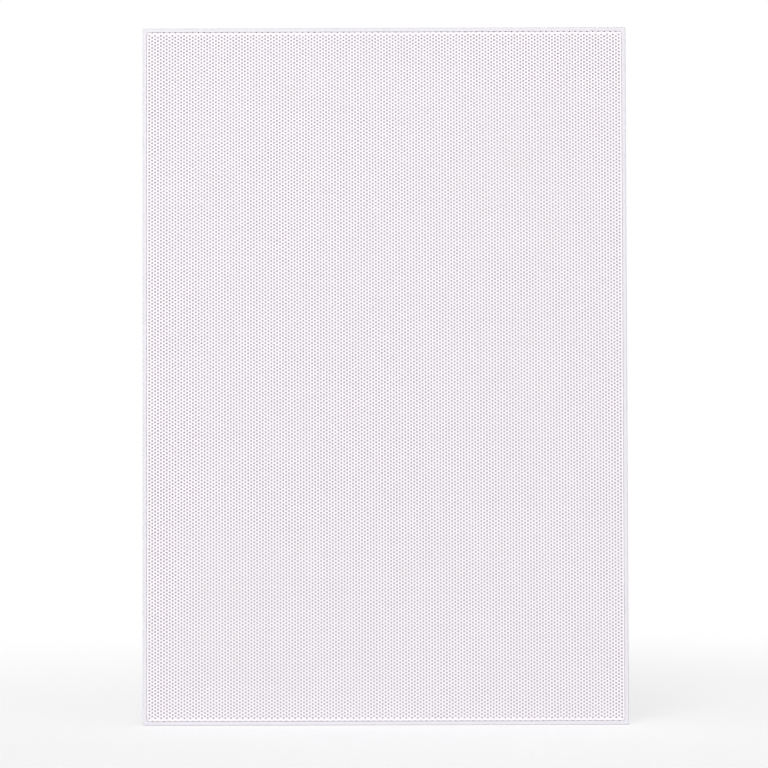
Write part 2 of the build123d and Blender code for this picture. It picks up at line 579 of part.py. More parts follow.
def woofer_dust_cap():
    """A domed cap whose rim lies on the front of the cone."""
    rim = cone_front(CAP_RADIUS)
    inner = CAP_RADIUS - CAP_LAND
    top = rim - CAP_HEIGHT
    outer_arc = ThreePointArc((-CAP_RADIUS, rim), (0, top), (CAP_RADIUS, rim))
    inner_arc = ThreePointArc((-inner, cone_front(inner)), (0, top + CAP_SHEET), (inner, cone_front(inner)))
    outer_half = outer_arc.trim(0.5, 1)
    inner_half = inner_arc.trim(0.5, 1)
    outline = Curve() + [
        outer_half,
        Line(outer_half @ 1, inner_half @ 1),
        inner_half,
        Line(inner_half @ 0, outer_half @ 0),
    ]
    return turned(make_face(outline), z=WOOFER_Z)


def woofer_spider():
    """A corrugated suspension from the basket's shelf to the coil's former."""
    start = SHELF_RADIUS - SHELF_WIDTH + SPIDER_EDGE
    end = FORMER_RADIUS + SPIDER_FIT + SPIDER_COLLAR
    rim = SHELF_RADIUS - SPIDER_MARGIN
    bore = FORMER_RADIUS + SPIDER_FIT
    half = (start - end) / (2 * SPIDER_WAVES)
    edges = []
    for face in (SHELF_FACE, SHELF_FACE - SPIDER_SHEET):
        edges.append(Line((rim, face), (start, face)))
        for step in range(2 * SPIDER_WAVES):
            left = start - step * half
            swing = SPIDER_SWING if step % 2 else -SPIDER_SWING
            edges.append(ThreePointArc(
                (left, face), (left - half / 2, face + swing), (left - half, face)))
        edges.append(Line((end, face), (bore, face)))
    edges.append(Line((rim, SHELF_FACE), (rim, SHELF_FACE - SPIDER_SHEET)))
    edges.append(Line((bore, SHELF_FACE), (bore, SHELF_FACE - SPIDER_SHEET)))
    return turned(make_face(edges), z=WOOFER_Z)


def woofer_yoke():
    """The back plate and the vented pole, in one piece."""
    back = MAGNET_RING_BACK + YOKE_THICKNESS
    pole = FORMER_BORE - COIL_CLEARANCE
    profile = polygon(
        (POLE_VENT, TOP_PLATE_FACE), (pole, TOP_PLATE_FACE), (pole, MAGNET_RING_BACK),
        (YOKE_RADIUS, MAGNET_RING_BACK), (YOKE_RADIUS, back - MOTOR_EDGE), (YOKE_RADIUS - MOTOR_EDGE, back),
        (POLE_VENT + VENT_FLARE, back), (POLE_VENT, back - VENT_FLARE))
    return turned(profile, z=WOOFER_Z)


def woofer_motor():
    """Coil former, winding, front plate, ferrite ring and yoke."""
    winding_start = WINDING_MID - WINDING_LENGTH / 2
    winding_end = WINDING_MID + WINDING_LENGTH / 2
    winding_radius = FORMER_RADIUS + WINDING_BUILD
    former_start = CONE_NECK_Y - FORMER_LEAD
    gap = winding_radius + COIL_CLEARANCE
    return {
        "woofer_coil_former": ring(
            FORMER_RADIUS, FORMER_BORE, former_start, winding_end + FORMER_TAIL, z=WOOFER_Z),
        "woofer_coil_winding": ring(winding_radius, FORMER_RADIUS, winding_start, winding_end, z=WOOFER_Z),
        "woofer_top_plate": bevelled_ring(
            TOP_PLATE_RADIUS, gap, TOP_PLATE_FACE, TOP_PLATE_BACK, MOTOR_EDGE, WOOFER_Z),
        "woofer_magnet": bevelled_ring(
            MAGNET_RING_RADIUS, MAGNET_RING_BORE, TOP_PLATE_BACK, MAGNET_RING_BACK, MOTOR_EDGE, WOOFER_Z),
        "woofer_yoke": woofer_yoke(),
    }


def woofer_gasket():
    back = FLANGE_FACE - SURROUND_SHEET
    outer = ROLL_OUTER + SURROUND_LAND
    return ring(outer, outer - GASKET_WIDTH, back - GASKET_THICKNESS, back, z=WOOFER_Z)


def woofer_screws():
    fastener = screw(
        SMALL_SCREW_HEAD, SMALL_SCREW_HEAD_HEIGHT, SMALL_SCREW_RADIUS, FLANGE_FACE, WOOFER_SCREW_LENGTH, -1)
    places = round_places(WOOFER_SCREW_COUNT, WOOFER_SCREW_CIRCLE, z=WOOFER_Z)
    return [Pos(x, 0, z) * fastener for x, z in places]


def tag_board(seat, z):
    """An insulating strip with its back to a seat, and the two tags that lie on it."""
    face = seat + TAG_BOARD_THICKNESS
    board = Pos(0, 0, z) * slab(Rectangle(TAG_BOARD_WIDTH, TAG_BOARD_HEIGHT), seat, face)
    tag = slab(
        Pos(0, -TAG_BOARD_HEIGHT / 4) * Rectangle(TAG_WIDTH, TAG_LENGTH, align=(Align.CENTER, Align.MIN)),
        face, face + TAG_THICKNESS)
    tags = [Pos(side * TAG_SPACING / 2, 0, z) * tag for side in (-1, 1)]
    return board, tags


def tweeter_swivel_ring():
    """The ring that turns in the baffle and carries the ball on two pins."""
    seat = BAFFLE_DEPTH - SWIVEL_PLAY
    tail = PIVOT_DEPTH + SWIVEL_TAIL
    body = ring(TWEETER_RADIUS, SWIVEL_BORE, seat - SWIVEL_FLANGE, seat)
    rim = body.edges().filter_by(GeomType.CIRCLE).group_by(Axis.Y)[0].sort_by(SortBy.RADIUS)[-1]
    body = fillet(rim, SWIVEL_FLANGE_ROUND)
    body += ring(SWIVEL_RADIUS, SWIVEL_BORE, seat, tail)
    body -= ring(
        SWIVEL_RADIUS, SWIVEL_RADIUS - CLIP_SEAT, CLIP_FACE, CLIP_FACE + CLIP_THICKNESS + SWIVEL_PLAY)
    bore = Rot(0, 90, 0) * Cylinder(PIN_RADIUS + PIN_FIT, 2 * TWEETER_RADIUS)
    body -= Pos(0, PIVOT_DEPTH, 0) * bore
    return Pos(0, 0, TWEETER_Z) * body


def tweeter_clip():
    """An open spring clip in the ring's groove, behind the baffle."""
    seat = SWIVEL_RADIUS - CLIP_SEAT + SWIVEL_PLAY
    shape = Circle(seat + CLIP_WIDTH) - Circle(seat)
    shape -= Pos(0, -seat) * Rectangle(CLIP_OPENING, 2 * (CLIP_WIDTH + CLIP_SEAT))
    front = CLIP_FACE + SWIVEL_PLAY / 2
    return Pos(0, 0, TWEETER_Z) * slab(shape, front, front + CLIP_THICKNESS)


def tweeter_ball():
    """A spherical shell, open behind, with a ledge for the faceplate and two pin holes."""
    inner = BALL_RADIUS - BALL_WALL
    ledge = BALL_FRONT + FACEPLATE_FLANGE
    ledge_back = DIAPHRAGM_FACE
    tail = PIVOT_DEPTH + BALL_TAIL
    tail_outer = sqrt(BALL_RADIUS ** 2 - BALL_TAIL ** 2)
    tail_inner = sqrt(inner ** 2 - BALL_TAIL ** 2)
    ledge_outer = sqrt(inner ** 2 - (PIVOT_DEPTH - ledge_back) ** 2)
    bore = SPIGOT_RADIUS + FACEPLATE_FIT
    seat = FACEPLATE_RADIUS + FACEPLATE_FIT
    outline = Curve() + [
        ThreePointArc((BALL_MOUTH, BALL_FRONT), (BALL_RADIUS, PIVOT_DEPTH), (tail_outer, tail)),
        Line((tail_outer, tail), (tail_inner, tail)),
        ThreePointArc((tail_inner, tail), (inner, PIVOT_DEPTH), (ledge_outer, ledge_back)),
        Polyline(
            (ledge_outer, ledge_back), (bore, ledge_back), (bore, ledge),
            (seat, ledge), (seat, BALL_FRONT), (BALL_MOUTH, BALL_FRONT)),
    ]
    shell = turned(make_face(outline))
    shell -= Pos(0, PIVOT_DEPTH, 0) * Rot(0, 90, 0) * Cylinder(PIN_RADIUS, 2 * TWEETER_RADIUS)
    return Pos(0, 0, TWEETER_Z) * shell


def tweeter_pivot_pins():
    start = BALL_RADIUS - BALL_WALL - PIN_INSIDE
    length = SWIVEL_RADIUS - start
    pin = Pos(start + length / 2, PIVOT_DEPTH, TWEETER_Z) * Rot(0, 90, 0) * Cylinder(PIN_RADIUS, length)
    return [pin, mirror(pin, about=Plane.YZ)]


def tweeter_faceplate():
    """The plate in front of the dome, with a short horn."""
    middle = ((HORN_MOUTH + HORN_THROAT) / 2 - HORN_SAG, (BALL_FRONT + DIAPHRAGM_FACE) / 2 - HORN_SAG)
    shoulder = BALL_FRONT + FACEPLATE_FLANGE
    outline = Curve() + [
        ThreePointArc((HORN_THROAT, DIAPHRAGM_FACE), middle, (HORN_MOUTH, BALL_FRONT)),
        Polyline(
            (HORN_MOUTH, BALL_FRONT), (FACEPLATE_RADIUS, BALL_FRONT), (FACEPLATE_RADIUS, shoulder),
            (SPIGOT_RADIUS, shoulder), (SPIGOT_RADIUS, DIAPHRAGM_FACE), (HORN_THROAT, DIAPHRAGM_FACE)),
    ]
    return turned(make_face(outline), z=TWEETER_Z)


def tweeter_diaphragm():
    """A cloth dome and its roll, moulded as one."""
    land = HORN_THROAT + DOME_LAND
    roll_middle = (DOME_RADIUS + HORN_THROAT) / 2
    edges = []
    for face in (DIAPHRAGM_FACE, DIAPHRAGM_FACE + DOME_SHEET):
        dome = ThreePointArc((-DOME_RADIUS, face), (0, face - DOME_HEIGHT), (DOME_RADIUS, face))
        edges.append(dome.trim(0.5, 1))
        edges.append(ThreePointArc(
            (DOME_RADIUS, face), (roll_middle, face - DOME_ROLL_HEIGHT), (HORN_THROAT, face)))
        edges.append(Line((HORN_THROAT, face), (land, face)))
    edges.append(Line((land, DIAPHRAGM_FACE), (land, DIAPHRAGM_FACE + DOME_SHEET)))
    apex = DIAPHRAGM_FACE - DOME_HEIGHT
    edges.append(Line((0, apex), (0, apex + DOME_SHEET)))
    return turned(make_face(edges), z=TWEETER_Z)


def tweeter_motor():
    """Coil former, winding, front plate, ferrite ring and yoke."""
    start = TWEETER_PLATE_FACE + TWEETER_COIL_START
    end = start + TWEETER_COIL_LENGTH
    gap = TWEETER_WINDING_RADIUS + TWEETER_COIL_CLEARANCE
    pole = TWEETER_FORMER_BORE - TWEETER_COIL_CLEARANCE
    edge = TWEETER_MOTOR_EDGE
    yoke = disc(TWEETER_MOTOR_RADIUS, TWEETER_MAGNET_BACK, TWEETER_YOKE_BACK, z=TWEETER_Z)
    yoke = chamfer(yoke.edges().group_by(Axis.Y)[-1], edge)
    yoke += disc(pole, TWEETER_PLATE_FACE + TWEETER_POLE_STEP, TWEETER_MAGNET_BACK, z=TWEETER_Z)
    return {
        "tweeter_coil_former": ring(TWEETER_FORMER_RADIUS, TWEETER_FORMER_BORE, start, end, z=TWEETER_Z),
        "tweeter_coil_winding": ring(
            TWEETER_WINDING_RADIUS, TWEETER_FORMER_RADIUS, end - TWEETER_WINDING_LENGTH, end, z=TWEETER_Z),
        "tweeter_top_plate": bevelled_ring(
            TWEETER_MOTOR_RADIUS, gap, TWEETER_PLATE_FACE, TWEETER_PLATE_BACK, edge, TWEETER_Z),
        "tweeter_magnet": bevelled_ring(
            TWEETER_MOTOR_RADIUS, TWEETER_MAGNET_BORE, TWEETER_PLATE_BACK, TWEETER_MAGNET_BACK,
            edge, TWEETER_Z),
        "tweeter_yoke": yoke,
    }


def board_screw_places():
    return corner_places(BOARD_WIDTH, BOARD_HEIGHT, BOARD_HOLE_INSET, BOARD_X, BOARD_Z)


def terminal_screw_places():
    return corner_places(TERMINAL_WIDTH, TERMINAL_HEIGHT, BOARD_HOLE_INSET, TERMINAL_X, BOARD_Z)


def board_screws(places, seat):
    fastener = screw(
        SMALL_SCREW_HEAD, SMALL_SCREW_HEAD_HEIGHT, SMALL_SCREW_RADIUS, seat, SMALL_SCREW_LENGTH, 1)
    return [Pos(x, 0, z) * fastener for x, z in places]


def crossover_board():
    board = Pos(BOARD_X, 0, BOARD_Z) * slab(Rectangle(BOARD_WIDTH, BOARD_HEIGHT), BOARD_FACE, BOARD_BACK)
    for x, z in board_screw_places():
        board -= disc(SMALL_SCREW_RADIUS + SCREW_CLEARANCE, BOARD_FACE, BOARD_BACK, x, z)
    return board


def inductor():
    """A coil on a flanged bobbin, standing on the board."""
    top = BOARD_BACK + BOBBIN_HEIGHT
    low = BOARD_BACK + BOBBIN_FLANGE
    high = top - BOBBIN_FLANGE
    z = BOARD_Z - INDUCTOR_DROP
    bobbin = polygon(
        (BOBBIN_BORE, BOARD_BACK), (BOBBIN_RADIUS, BOARD_BACK), (BOBBIN_RADIUS, low), (BOBBIN_CORE, low),
        (BOBBIN_CORE, high), (BOBBIN_RADIUS, high), (BOBBIN_RADIUS, top), (BOBBIN_BORE, top))
    winding = ring(INDUCTOR_WINDING, BOBBIN_CORE, low, high, BOARD_X, z)
    return turned(bobbin, BOARD_X, z), winding


def with_leads(body, length, height, rise):
    """A body lying along X over the board, with a bent lead from each end down to the board."""
    end = length / 2
    reach = end + LEAD_REACH
    axis = BOARD_BACK + height
    path = FilletPolyline((end, axis), (reach, axis), (reach, BOARD_BACK), radius=LEAD_BEND)
    lead = sweep(Plane(origin=path @ 0, z_dir=path % 0) * Circle(LEAD_RADIUS), path)
    whole = Pos(0, axis, 0) * body + lead + mirror(lead, about=Plane.YZ)
    return Pos(BOARD_X, 0, BOARD_Z + rise) * whole


def capacitor(radius, length, rise):
    can = Rot(0, 90, 0) * Cylinder(radius, length)
    can = fillet(can.edges().filter_by(GeomType.CIRCLE), CAP_END_ROUND)
    return with_leads(can, length, radius + CAN_LIFT, rise)


def resistor():
    block = Box(RESISTOR_LENGTH, RESISTOR_SIZE, RESISTOR_SIZE)
    block = fillet(block.edges(), RESISTOR_ROUND)
    return with_leads(block, RESISTOR_LENGTH, RESISTOR_SIZE / 2, RESISTOR_RISE)


def terminal_plate():
    """The moulded plate of the terminals, with a wall between the two posts."""
    shape = RectangleRounded(TERMINAL_WIDTH, TERMINAL_HEIGHT, TERMINAL_CORNER)
    plate = slab(shape, BOARD_FACE, TERMINAL_BACK)
    wall = Rectangle(TERMINAL_WALL, TERMINAL_HEIGHT - 2 * TERMINAL_CORNER)
    plate += slab(wall, TERMINAL_BACK, TERMINAL_BACK + TERMINAL_WALL_HEIGHT)
    plate = Pos(TERMINAL_X, 0, BOARD_Z) * plate
    for x, z in terminal_screw_places():
        plate -= disc(SMALL_SCREW_RADIUS + SCREW_CLEARANCE, BOARD_FACE, TERMINAL_BACK, x, z)
    return plate


def terminal_post():
    """A headed post on the Y axis, cross-drilled where a pressed cap's wire hole comes to lie."""
    post = disc(POST_BASE_RADIUS, TERMINAL_BACK, POST_BASE_TOP)
    post += disc(POST_RADIUS, POST_BASE_TOP, POST_NECK)
    post += disc(POST_HEAD_RADIUS, POST_NECK, POST_NECK + POST_HEAD_HEIGHT)
    height = CAP_FOOT + TERMINAL_CAP_WIRE - TERMINAL_TRAVEL
    return post - Pos(0, height, 0) * Cylinder(WIRE_HOLE_RADIUS, 2 * POST_BASE_RADIUS)


def terminal_cap():
    """A fluted cap that slides on its post, held by the post's head and pushed out by a spring."""
    seat = CAP_FOOT + TERMINAL_CAP_SEAT
    end = CAP_FOOT + TERMINAL_CAP_LENGTH
    cap = disc(TERMINAL_CAP_RADIUS, CAP_FOOT, end)
    cap = fillet(cap.edges().group_by(Axis.Y)[-1], TERMINAL_CAP_ROUND)
    cap -= disc(POST_RADIUS + POST_FIT, CAP_FOOT, seat)
    cap -= disc(POST_HEAD_RADIUS + POST_FIT, seat, end)
    for x, z in round_places(FLUTE_COUNT, TERMINAL_CAP_RADIUS):
        cap -= disc(FLUTE_RADIUS, CAP_FOOT, end, x, z)
    wire_hole = Cylinder(WIRE_HOLE_RADIUS, 2 * TERMINAL_CAP_RADIUS)
    return cap - Pos(0, CAP_FOOT + TERMINAL_CAP_WIRE, 0) * wire_hole


def terminal_spring():
    margin = SPRING_WIRE + SPRING_SEAT
    height = SPRING_HEIGHT - 2 * margin
    path = Helix(height / SPRING_TURNS, height, SPRING_RADIUS, direction=(0, 1, 0))
    section = Plane(origin=path @ 0, z_dir=path % 0) * Circle(SPRING_WIRE)
    return Pos(0, POST_BASE_TOP + margin, 0) * sweep(section, path, is_frenet=True)


def terminals():
    spots = {
        "black": Pos(TERMINAL_X - TERMINAL_SPACING / 2, 0, BOARD_Z),
        "red": Pos(TERMINAL_X + TERMINAL_SPACING / 2, 0, BOARD_Z),
    }
    nodes = {"terminal_posts": [spot * terminal_post() for spot in spots.values()]}
    for colour, spot in spots.items():
        nodes[f"terminal_cap_{colour}"] = spot * terminal_cap()
        nodes[f"terminal_spring_{colour}"] = spot * terminal_spring()
    return nodes


def assembly():
    """Every node by name; a list is a group of separate solids."""
    woofer_tag_z = WOOFER_Z + SHELF_RADIUS - SHELF_WIDTH / 2 + BASKET_SHEET
    woofer_board, woofer_tags = tag_board(SHELF_FACE + BASKET_SHEET, woofer_tag_z)
    tweeter_board, tweeter_tags = tag_board(TWEETER_YOKE_BACK, TWEETER_Z)
    bobbin, bobbin_winding = inductor()
    nodes = {
        "frame": frame(),
        "grille": grille(),
        "grille_scrim": grille_scrim(),
        "grille_magnets": grille_magnets(),
        "woofer_basket": woofer_basket(),
        "woofer_gasket": woofer_gasket(),
        "woofer_surround": woofer_surround(),
        "woofer_cone": woofer_cone(),
        "woofer_dust_cap": woofer_dust_cap(),
        "woofer_spider": woofer_spider(),
        "woofer_tag_board": woofer_board,
        "woofer_tags": woofer_tags,
        "woofer_screws": woofer_screws(),
        "tweeter_swivel_ring": tweeter_swivel_ring(),
        "tweeter_clip": tweeter_clip(),
        "tweeter_ball": tweeter_ball(),
        "tweeter_pivot_pins": tweeter_pivot_pins(),
        "tweeter_faceplate": tweeter_faceplate(),
        "tweeter_diaphragm": tweeter_diaphragm(),
        "tweeter_tag_board": tweeter_board,
        "tweeter_tags": tweeter_tags,
        "crossover_board": crossover_board(),
        "crossover_bobbin": bobbin,
        "crossover_winding": bobbin_winding,
        "crossover_capacitor_large": capacitor(LARGE_CAP_RADIUS, LARGE_CAP_LENGTH, LARGE_CAP_RISE),
        "crossover_capacitor_small": capacitor(SMALL_CAP_RADIUS, SMALL_CAP_LENGTH, SMALL_CAP_RISE),
        "crossover_resistor": resistor(),
        "crossover_screws": board_screws(board_screw_places(), BOARD_BACK),
        "terminal_plate": terminal_plate(),
        "terminal_screws": board_screws(terminal_screw_places(), TERMINAL_BACK),
    }
    nodes.update(woofer_motor())
    nodes.update(tweeter_motor())
    nodes.update(terminals())
    for name, place in clamp_places():
        nodes[f"clamp_arm_{name}"] = place * clamp_arm()
        nodes[f"clamp_screw_{name}"] = place * clamp_screw()
    return nodes


os.makedirs("parts", exist_ok=True)
for node_name, shape in assembly().items():
    pieces = shape if isinstance(shape, list) else [shape]
    solids = [solid for piece in pieces for solid in piece.solids()]
    export_step(Compound(children=solids), f"parts/{node_name}.step")
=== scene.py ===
import json
import math

import bpy
import numpy as np
from mathutils import Matrix, Vector


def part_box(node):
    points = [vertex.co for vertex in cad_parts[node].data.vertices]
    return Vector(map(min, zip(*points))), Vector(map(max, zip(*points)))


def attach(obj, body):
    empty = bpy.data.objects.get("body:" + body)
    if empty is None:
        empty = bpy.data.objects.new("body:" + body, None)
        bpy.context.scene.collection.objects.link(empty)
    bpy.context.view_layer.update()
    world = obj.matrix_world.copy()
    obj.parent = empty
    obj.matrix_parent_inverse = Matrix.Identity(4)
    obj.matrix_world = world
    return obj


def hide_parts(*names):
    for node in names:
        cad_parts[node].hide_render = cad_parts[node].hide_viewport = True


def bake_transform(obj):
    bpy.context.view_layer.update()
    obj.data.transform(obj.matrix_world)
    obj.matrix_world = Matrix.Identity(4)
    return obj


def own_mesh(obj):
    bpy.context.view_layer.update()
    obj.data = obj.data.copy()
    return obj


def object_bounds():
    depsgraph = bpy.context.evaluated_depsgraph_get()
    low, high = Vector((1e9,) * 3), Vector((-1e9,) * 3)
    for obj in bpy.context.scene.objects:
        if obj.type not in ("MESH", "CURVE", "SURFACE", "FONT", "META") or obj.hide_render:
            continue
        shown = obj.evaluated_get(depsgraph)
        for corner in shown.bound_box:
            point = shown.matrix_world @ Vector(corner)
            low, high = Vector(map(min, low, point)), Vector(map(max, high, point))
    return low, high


# The looks of an in-wall loudspeaker, in metres and in the frame of its solids:
# X to the right, Y into the wall, Z up, with the perforated front facing -Y.

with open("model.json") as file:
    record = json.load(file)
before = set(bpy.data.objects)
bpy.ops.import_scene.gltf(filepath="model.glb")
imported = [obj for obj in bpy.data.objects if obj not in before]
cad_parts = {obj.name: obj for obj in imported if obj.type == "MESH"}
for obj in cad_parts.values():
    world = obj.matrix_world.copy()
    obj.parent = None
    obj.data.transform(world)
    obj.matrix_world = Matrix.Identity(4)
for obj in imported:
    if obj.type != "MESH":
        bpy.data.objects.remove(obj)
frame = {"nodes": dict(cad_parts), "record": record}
CAD_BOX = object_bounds()
NODES = frame["nodes"]
SLOTS = {part["node"]: part["material_slot"] for part in frame["record"]["subparts"]}
MM = 0.001

# Perforated sheet of the grille
HOLE_DIAMETER = 1.0 * MM
HOLE_PITCH = 1.77 * MM          # down a column
COLUMN_PITCH = 1.5 * MM
HOLE_EDGE = 1.15 * MM           # least distance from a hole's centre to the edge of the grille
HOLE_SIDES = 6
GRILLE_SHEET = 0.7 * MM
GRILLE_COAT = 0.09 * MM         # powder coat on the outside of the fold
GRILLE_BEND = 0.5 * MM          # outer radius of the folded edge
GRILLE_CORNER = 1.3 * MM
FIELD_INSET = 0.5 * MM          # edge of the grille to the end of the perforated field
BEND_STEPS = 5
END_NOTCH_STEPS = 3             # steps of the fold, from its start, that the holes of its ends take up
SIDE_NOTCH_STEP = 3             # step of the fold where the holes of its sides begin
NOTCH_DROP = 0.5 * MM           # reach of the sides' holes behind the fold
BAND_COUNT = 4                  # pieces that the perforated field is split into
WALL_IN_MAP = 0.55              # inner end of a hole's wall in the texture map, as a share of its radius

# Cloth behind the grille
SCRIM_GAP = 0.02 * MM
SCRIM_STEP = 4.0 * MM

# Woofer's suspension
SURROUND_SHEET = 0.8 * MM
SURROUND_LAND = 8.0 * MM
SURROUND_GLUE = 5.0 * MM        # overlap on the rim of the cone
ROLL_WIDTH = 13.0 * MM
ROLL_STEPS = 36
HOLLOW_STEPS = 28               # steps of the roll's inner side
SPIDER_SHEET = 0.8 * MM
SPIDER_WAVES = 4
SPIDER_SWING = 1.8 * MM
SPIDER_LAND = 9.5 * MM          # flat rim on the basket's shelf
SPIDER_COLLAR = 5.0 * MM        # flat collar round the coil
SPIDER_GAP = 0.2 * MM           # collar to the coil's former
WAVE_STEPS = 16                 # steps of each wave

# Tweeter's dome
DOME_RADIUS = 13.0 * MM
DOME_HEIGHT = 4.5 * MM
DOME_MIDDLE = 0.02 * MM         # radius at which the turned dome closes
DOME_STEPS = 24
DOME_ROLL_WIDTH = 3.5 * MM
DOME_ROLL_HEIGHT = 1.0 * MM
DOME_ROLL_STEPS = 14
DOME_SHEET = 0.4 * MM

# Coils, springs and threads
WIRE_PITCH = 0.93 * MM
WIRE_ARC = 80                   # degrees of a turn's outside, to each side of its crest
WIRE_STEPS = 6
WINDING_INSET = 8.0 * MM        # rim of the bobbin to the inside of the winding
WINDING_ROUND_STEPS = 96
SPRING_WIRE = 0.4 * MM
SPRING_SIDES = 10
SPRING_END = 0.02               # thickness of a spring's closed end, as a share of its wire's
SPRING_TURNS = 3
SPRING_STEPS = 40               # steps of each turn
THREAD_PITCH = 1.4 * MM
THREAD_ROOT = 1.95 * MM
THREAD_CREST = 2.15 * MM
THREAD_START = 8.0 * MM         # front of the screw's head to the start of the thread
THREAD_WIDTH = 0.8              # width of the ridge, as a share of the pitch
THREAD_STEPS = 20               # steps of each turn
ROUND_STEPS = 144

# Textures
NOISE_ROUGHNESS = 0.6
WAVE_FACTOR = 20.0              # radians that a wave texture turns for each unit of its scale
COLOUR_SPAN = (0.3, 0.7)        # part of a texture's range over which a colour changes

# Camera, fitted to the four corners of the front in a square picture
PICTURE_WIDTH = 768.0
CAMERA_FOCUS = 3089.9           # focal length in pixels of that picture
CAMERA_PLACE = (0.0071, -1.6, -0.0561)
CAMERA_YAW = math.radians(-0.271)
CAMERA_PITCH = math.radians(1.856)
CAMERA_ROLL = math.radians(-0.151)

# Light
AMBIENT_FRONT = 0.78            # light from in front of the object
AMBIENT_BACK = 0.2              # light from behind it
AMBIENT_TURN = 0.3              # how far towards the back the fade between them ends
AMBIENT_COLOUR = (0.985, 0.98, 1.0)
KEY_POWER = 116.0
KEY_PLACE = (-0.8, -4.6, 0.9)
KEY_SIZE = (2.6, 2.6)           # width and height
BACK_POWER = 82.0
BACK_PLACE = (-1.9, 3.2, 0.9)
BACK_SIZE = (6.4, 2.6)
FILL_POWER = 48.0
FILL_PLACE = (2.6, 2.9, 2.4)
FILL_SIZE = (4.0, 4.0)
FLOOR_GLOW = 0.39               # the floor's own white, to the camera
FLOOR_SHARE = 0.8               # share of the light that the floor throws back
FLOOR_SIZE = 12.0
SHADOW_REACH = (0.35, 1.1)      # distances from the object over which its shadow fades to white


def mesh_piece(name, points, quads, triangles=(), map_points=None, smooth_angle=40.0):
    """A mesh object from arrays of points and of four-cornered and three-cornered faces."""
    quads = np.asarray(quads, np.int32).reshape(-1, 4)
    triangles = np.asarray(triangles, np.int32).reshape(-1, 3)
    corners = np.concatenate([quads.ravel(), triangles.ravel()])
    sizes = np.concatenate([np.full(len(quads), 4), np.full(len(triangles), 3)])
    mesh = bpy.data.meshes.new(name)
    mesh.vertices.add(len(points))
    mesh.vertices.foreach_set("co", np.asarray(points, np.float32).ravel())
    mesh.loops.add(len(corners))
    mesh.loops.foreach_set("vertex_index", corners)
    mesh.polygons.add(len(sizes))
    mesh.polygons.foreach_set("loop_start", (np.cumsum(sizes) - sizes).astype(np.int32))
    mesh.polygons.foreach_set("use_smooth", np.ones(len(sizes), bool))
    mesh.update(calc_edges=True)
    if map_points is not None:
        layer = mesh.uv_layers.new(name="OFBake")
        layer.data.foreach_set("uv", np.asarray(map_points, np.float32)[corners].ravel())
    mesh.set_sharp_from_angle(angle=math.radians(smooth_angle))
    piece = bpy.data.objects.new(name, mesh)
    bpy.context.scene.collection.objects.link(piece)
    return piece


def grid_faces(rows, columns, close_rows=False, close_columns=False):
    """Four-cornered faces between the points of a grid, which may be closed either way."""
    row, column = np.meshgrid(
        np.arange(rows if close_rows else rows - 1),
        np.arange(columns if close_columns else columns - 1), indexing="ij")
    below = (row + 1) % rows
    beside = (column + 1) % columns
    return np.stack([
        row * columns + column, row * columns + beside,
        below * columns + beside, below * columns + column], axis=-1).reshape(-1, 4)


def stacked(*faces):
    """Arrays of faces, each from the arrays of its corners."""
    return [np.stack(face, axis=-1) for face in faces]


def turned(name, outline, centre, steps=ROUND_STEPS, smooth_angle=35.0):
    """A closed outline of (radius, Y) points turned about a line along Y through centre (x, z)."""
    outline = np.asarray(outline)
    angle = np.linspace(0, 2 * math.pi, steps, endpoint=False)
    radius = outline[:, 0][:, None]
    points = np.stack([
        centre[0] + radius * np.cos(angle),
        np.repeat(outline[:, 1][:, None], steps, axis=1),
        centre[1] + radius * np.sin(angle)], axis=-1)
    faces = grid_faces(len(outline), steps, close_rows=True, close_columns=True)
    return mesh_piece(name, points.reshape(-1, 3), faces, smooth_angle=smooth_angle)


def spring_wire(name, path):
    """A round wire along a path of points, drawn in almost to nothing at both ends."""
    path = np.asarray(path)
    along = np.gradient(path, axis=0)
    along /= np.linalg.norm(along, axis=1)[:, None]
    side = np.cross(along, (0.0, 1.0, 0.0))
    side /= np.linalg.norm(side, axis=1)[:, None]
    up = np.cross(side, along)
    angle = np.linspace(0, 2 * math.pi, SPRING_SIDES, endpoint=False)
    ring = np.cos(angle)[None, :, None] * side[:, None] + np.sin(angle)[None, :, None] * up[:, None]
    swell = np.full(len(path), SPRING_WIRE)
    swell[[0, -1]] *= SPRING_END
    points = path[:, None] + swell[:, None, None] * ring
    faces = grid_faces(len(path), SPRING_SIDES, close_columns=True)
    return mesh_piece(name, points.reshape(-1, 3), faces)


def arc(centre, radius, start, end, steps):
    """Points on a circle in (radius, Y), between two angles in degrees."""
    angle = np.radians(np.linspace(start, end, steps + 1))
    return [(centre[0] + radius * math.cos(a), centre[1] + radius * math.sin(a)) for a in angle]


def dome_arc(width, base, rise, steps):
    """Points of a circle's cap from its middle out to its rim, in (radius, Y)."""
    radius = (width ** 2 + rise ** 2) / (2 * rise)
    reach = math.asin(width / radius)
    turn = np.linspace(0, reach, steps + 1)
    return [(radius * math.sin(a), base - rise + radius * (1 - math.cos(a))) for a in turn]


def centre_of(node):
    """The middle of a node's box, as (x, z)."""
    low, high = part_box(node)
    return (low.x + high.x) / 2, (low.z + high.z) / 2


def dress(piece, node, finishes):
    """Gives a piece that stands for a node the node's finish and slot, and hides the node."""
    piece.data.materials.append(finishes[SLOTS[node]])
    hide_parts(node)


def feed(tree, socket, value):
    """Links a node's output to a socket, or sets the socket's own value."""
    if isinstance(value, bpy.types.NodeSocket):
        tree.links.new(value, socket)
    else:
        socket.default_value = value


def add_node(tree, kind, inputs=None, **settings):
    """A shader node with its settings made and its inputs fed."""
    node = tree.nodes.new(kind)
    for setting, value in settings.items():
        setattr(node, setting, value)
    for socket, value in (inputs or {}).items():
        feed(tree, node.inputs[socket], value)
    return node


def wave_scale(pitch):
    """The scale of a wave texture that has one wave to each pitch."""
    return 2 * math.pi / (WAVE_FACTOR * pitch)


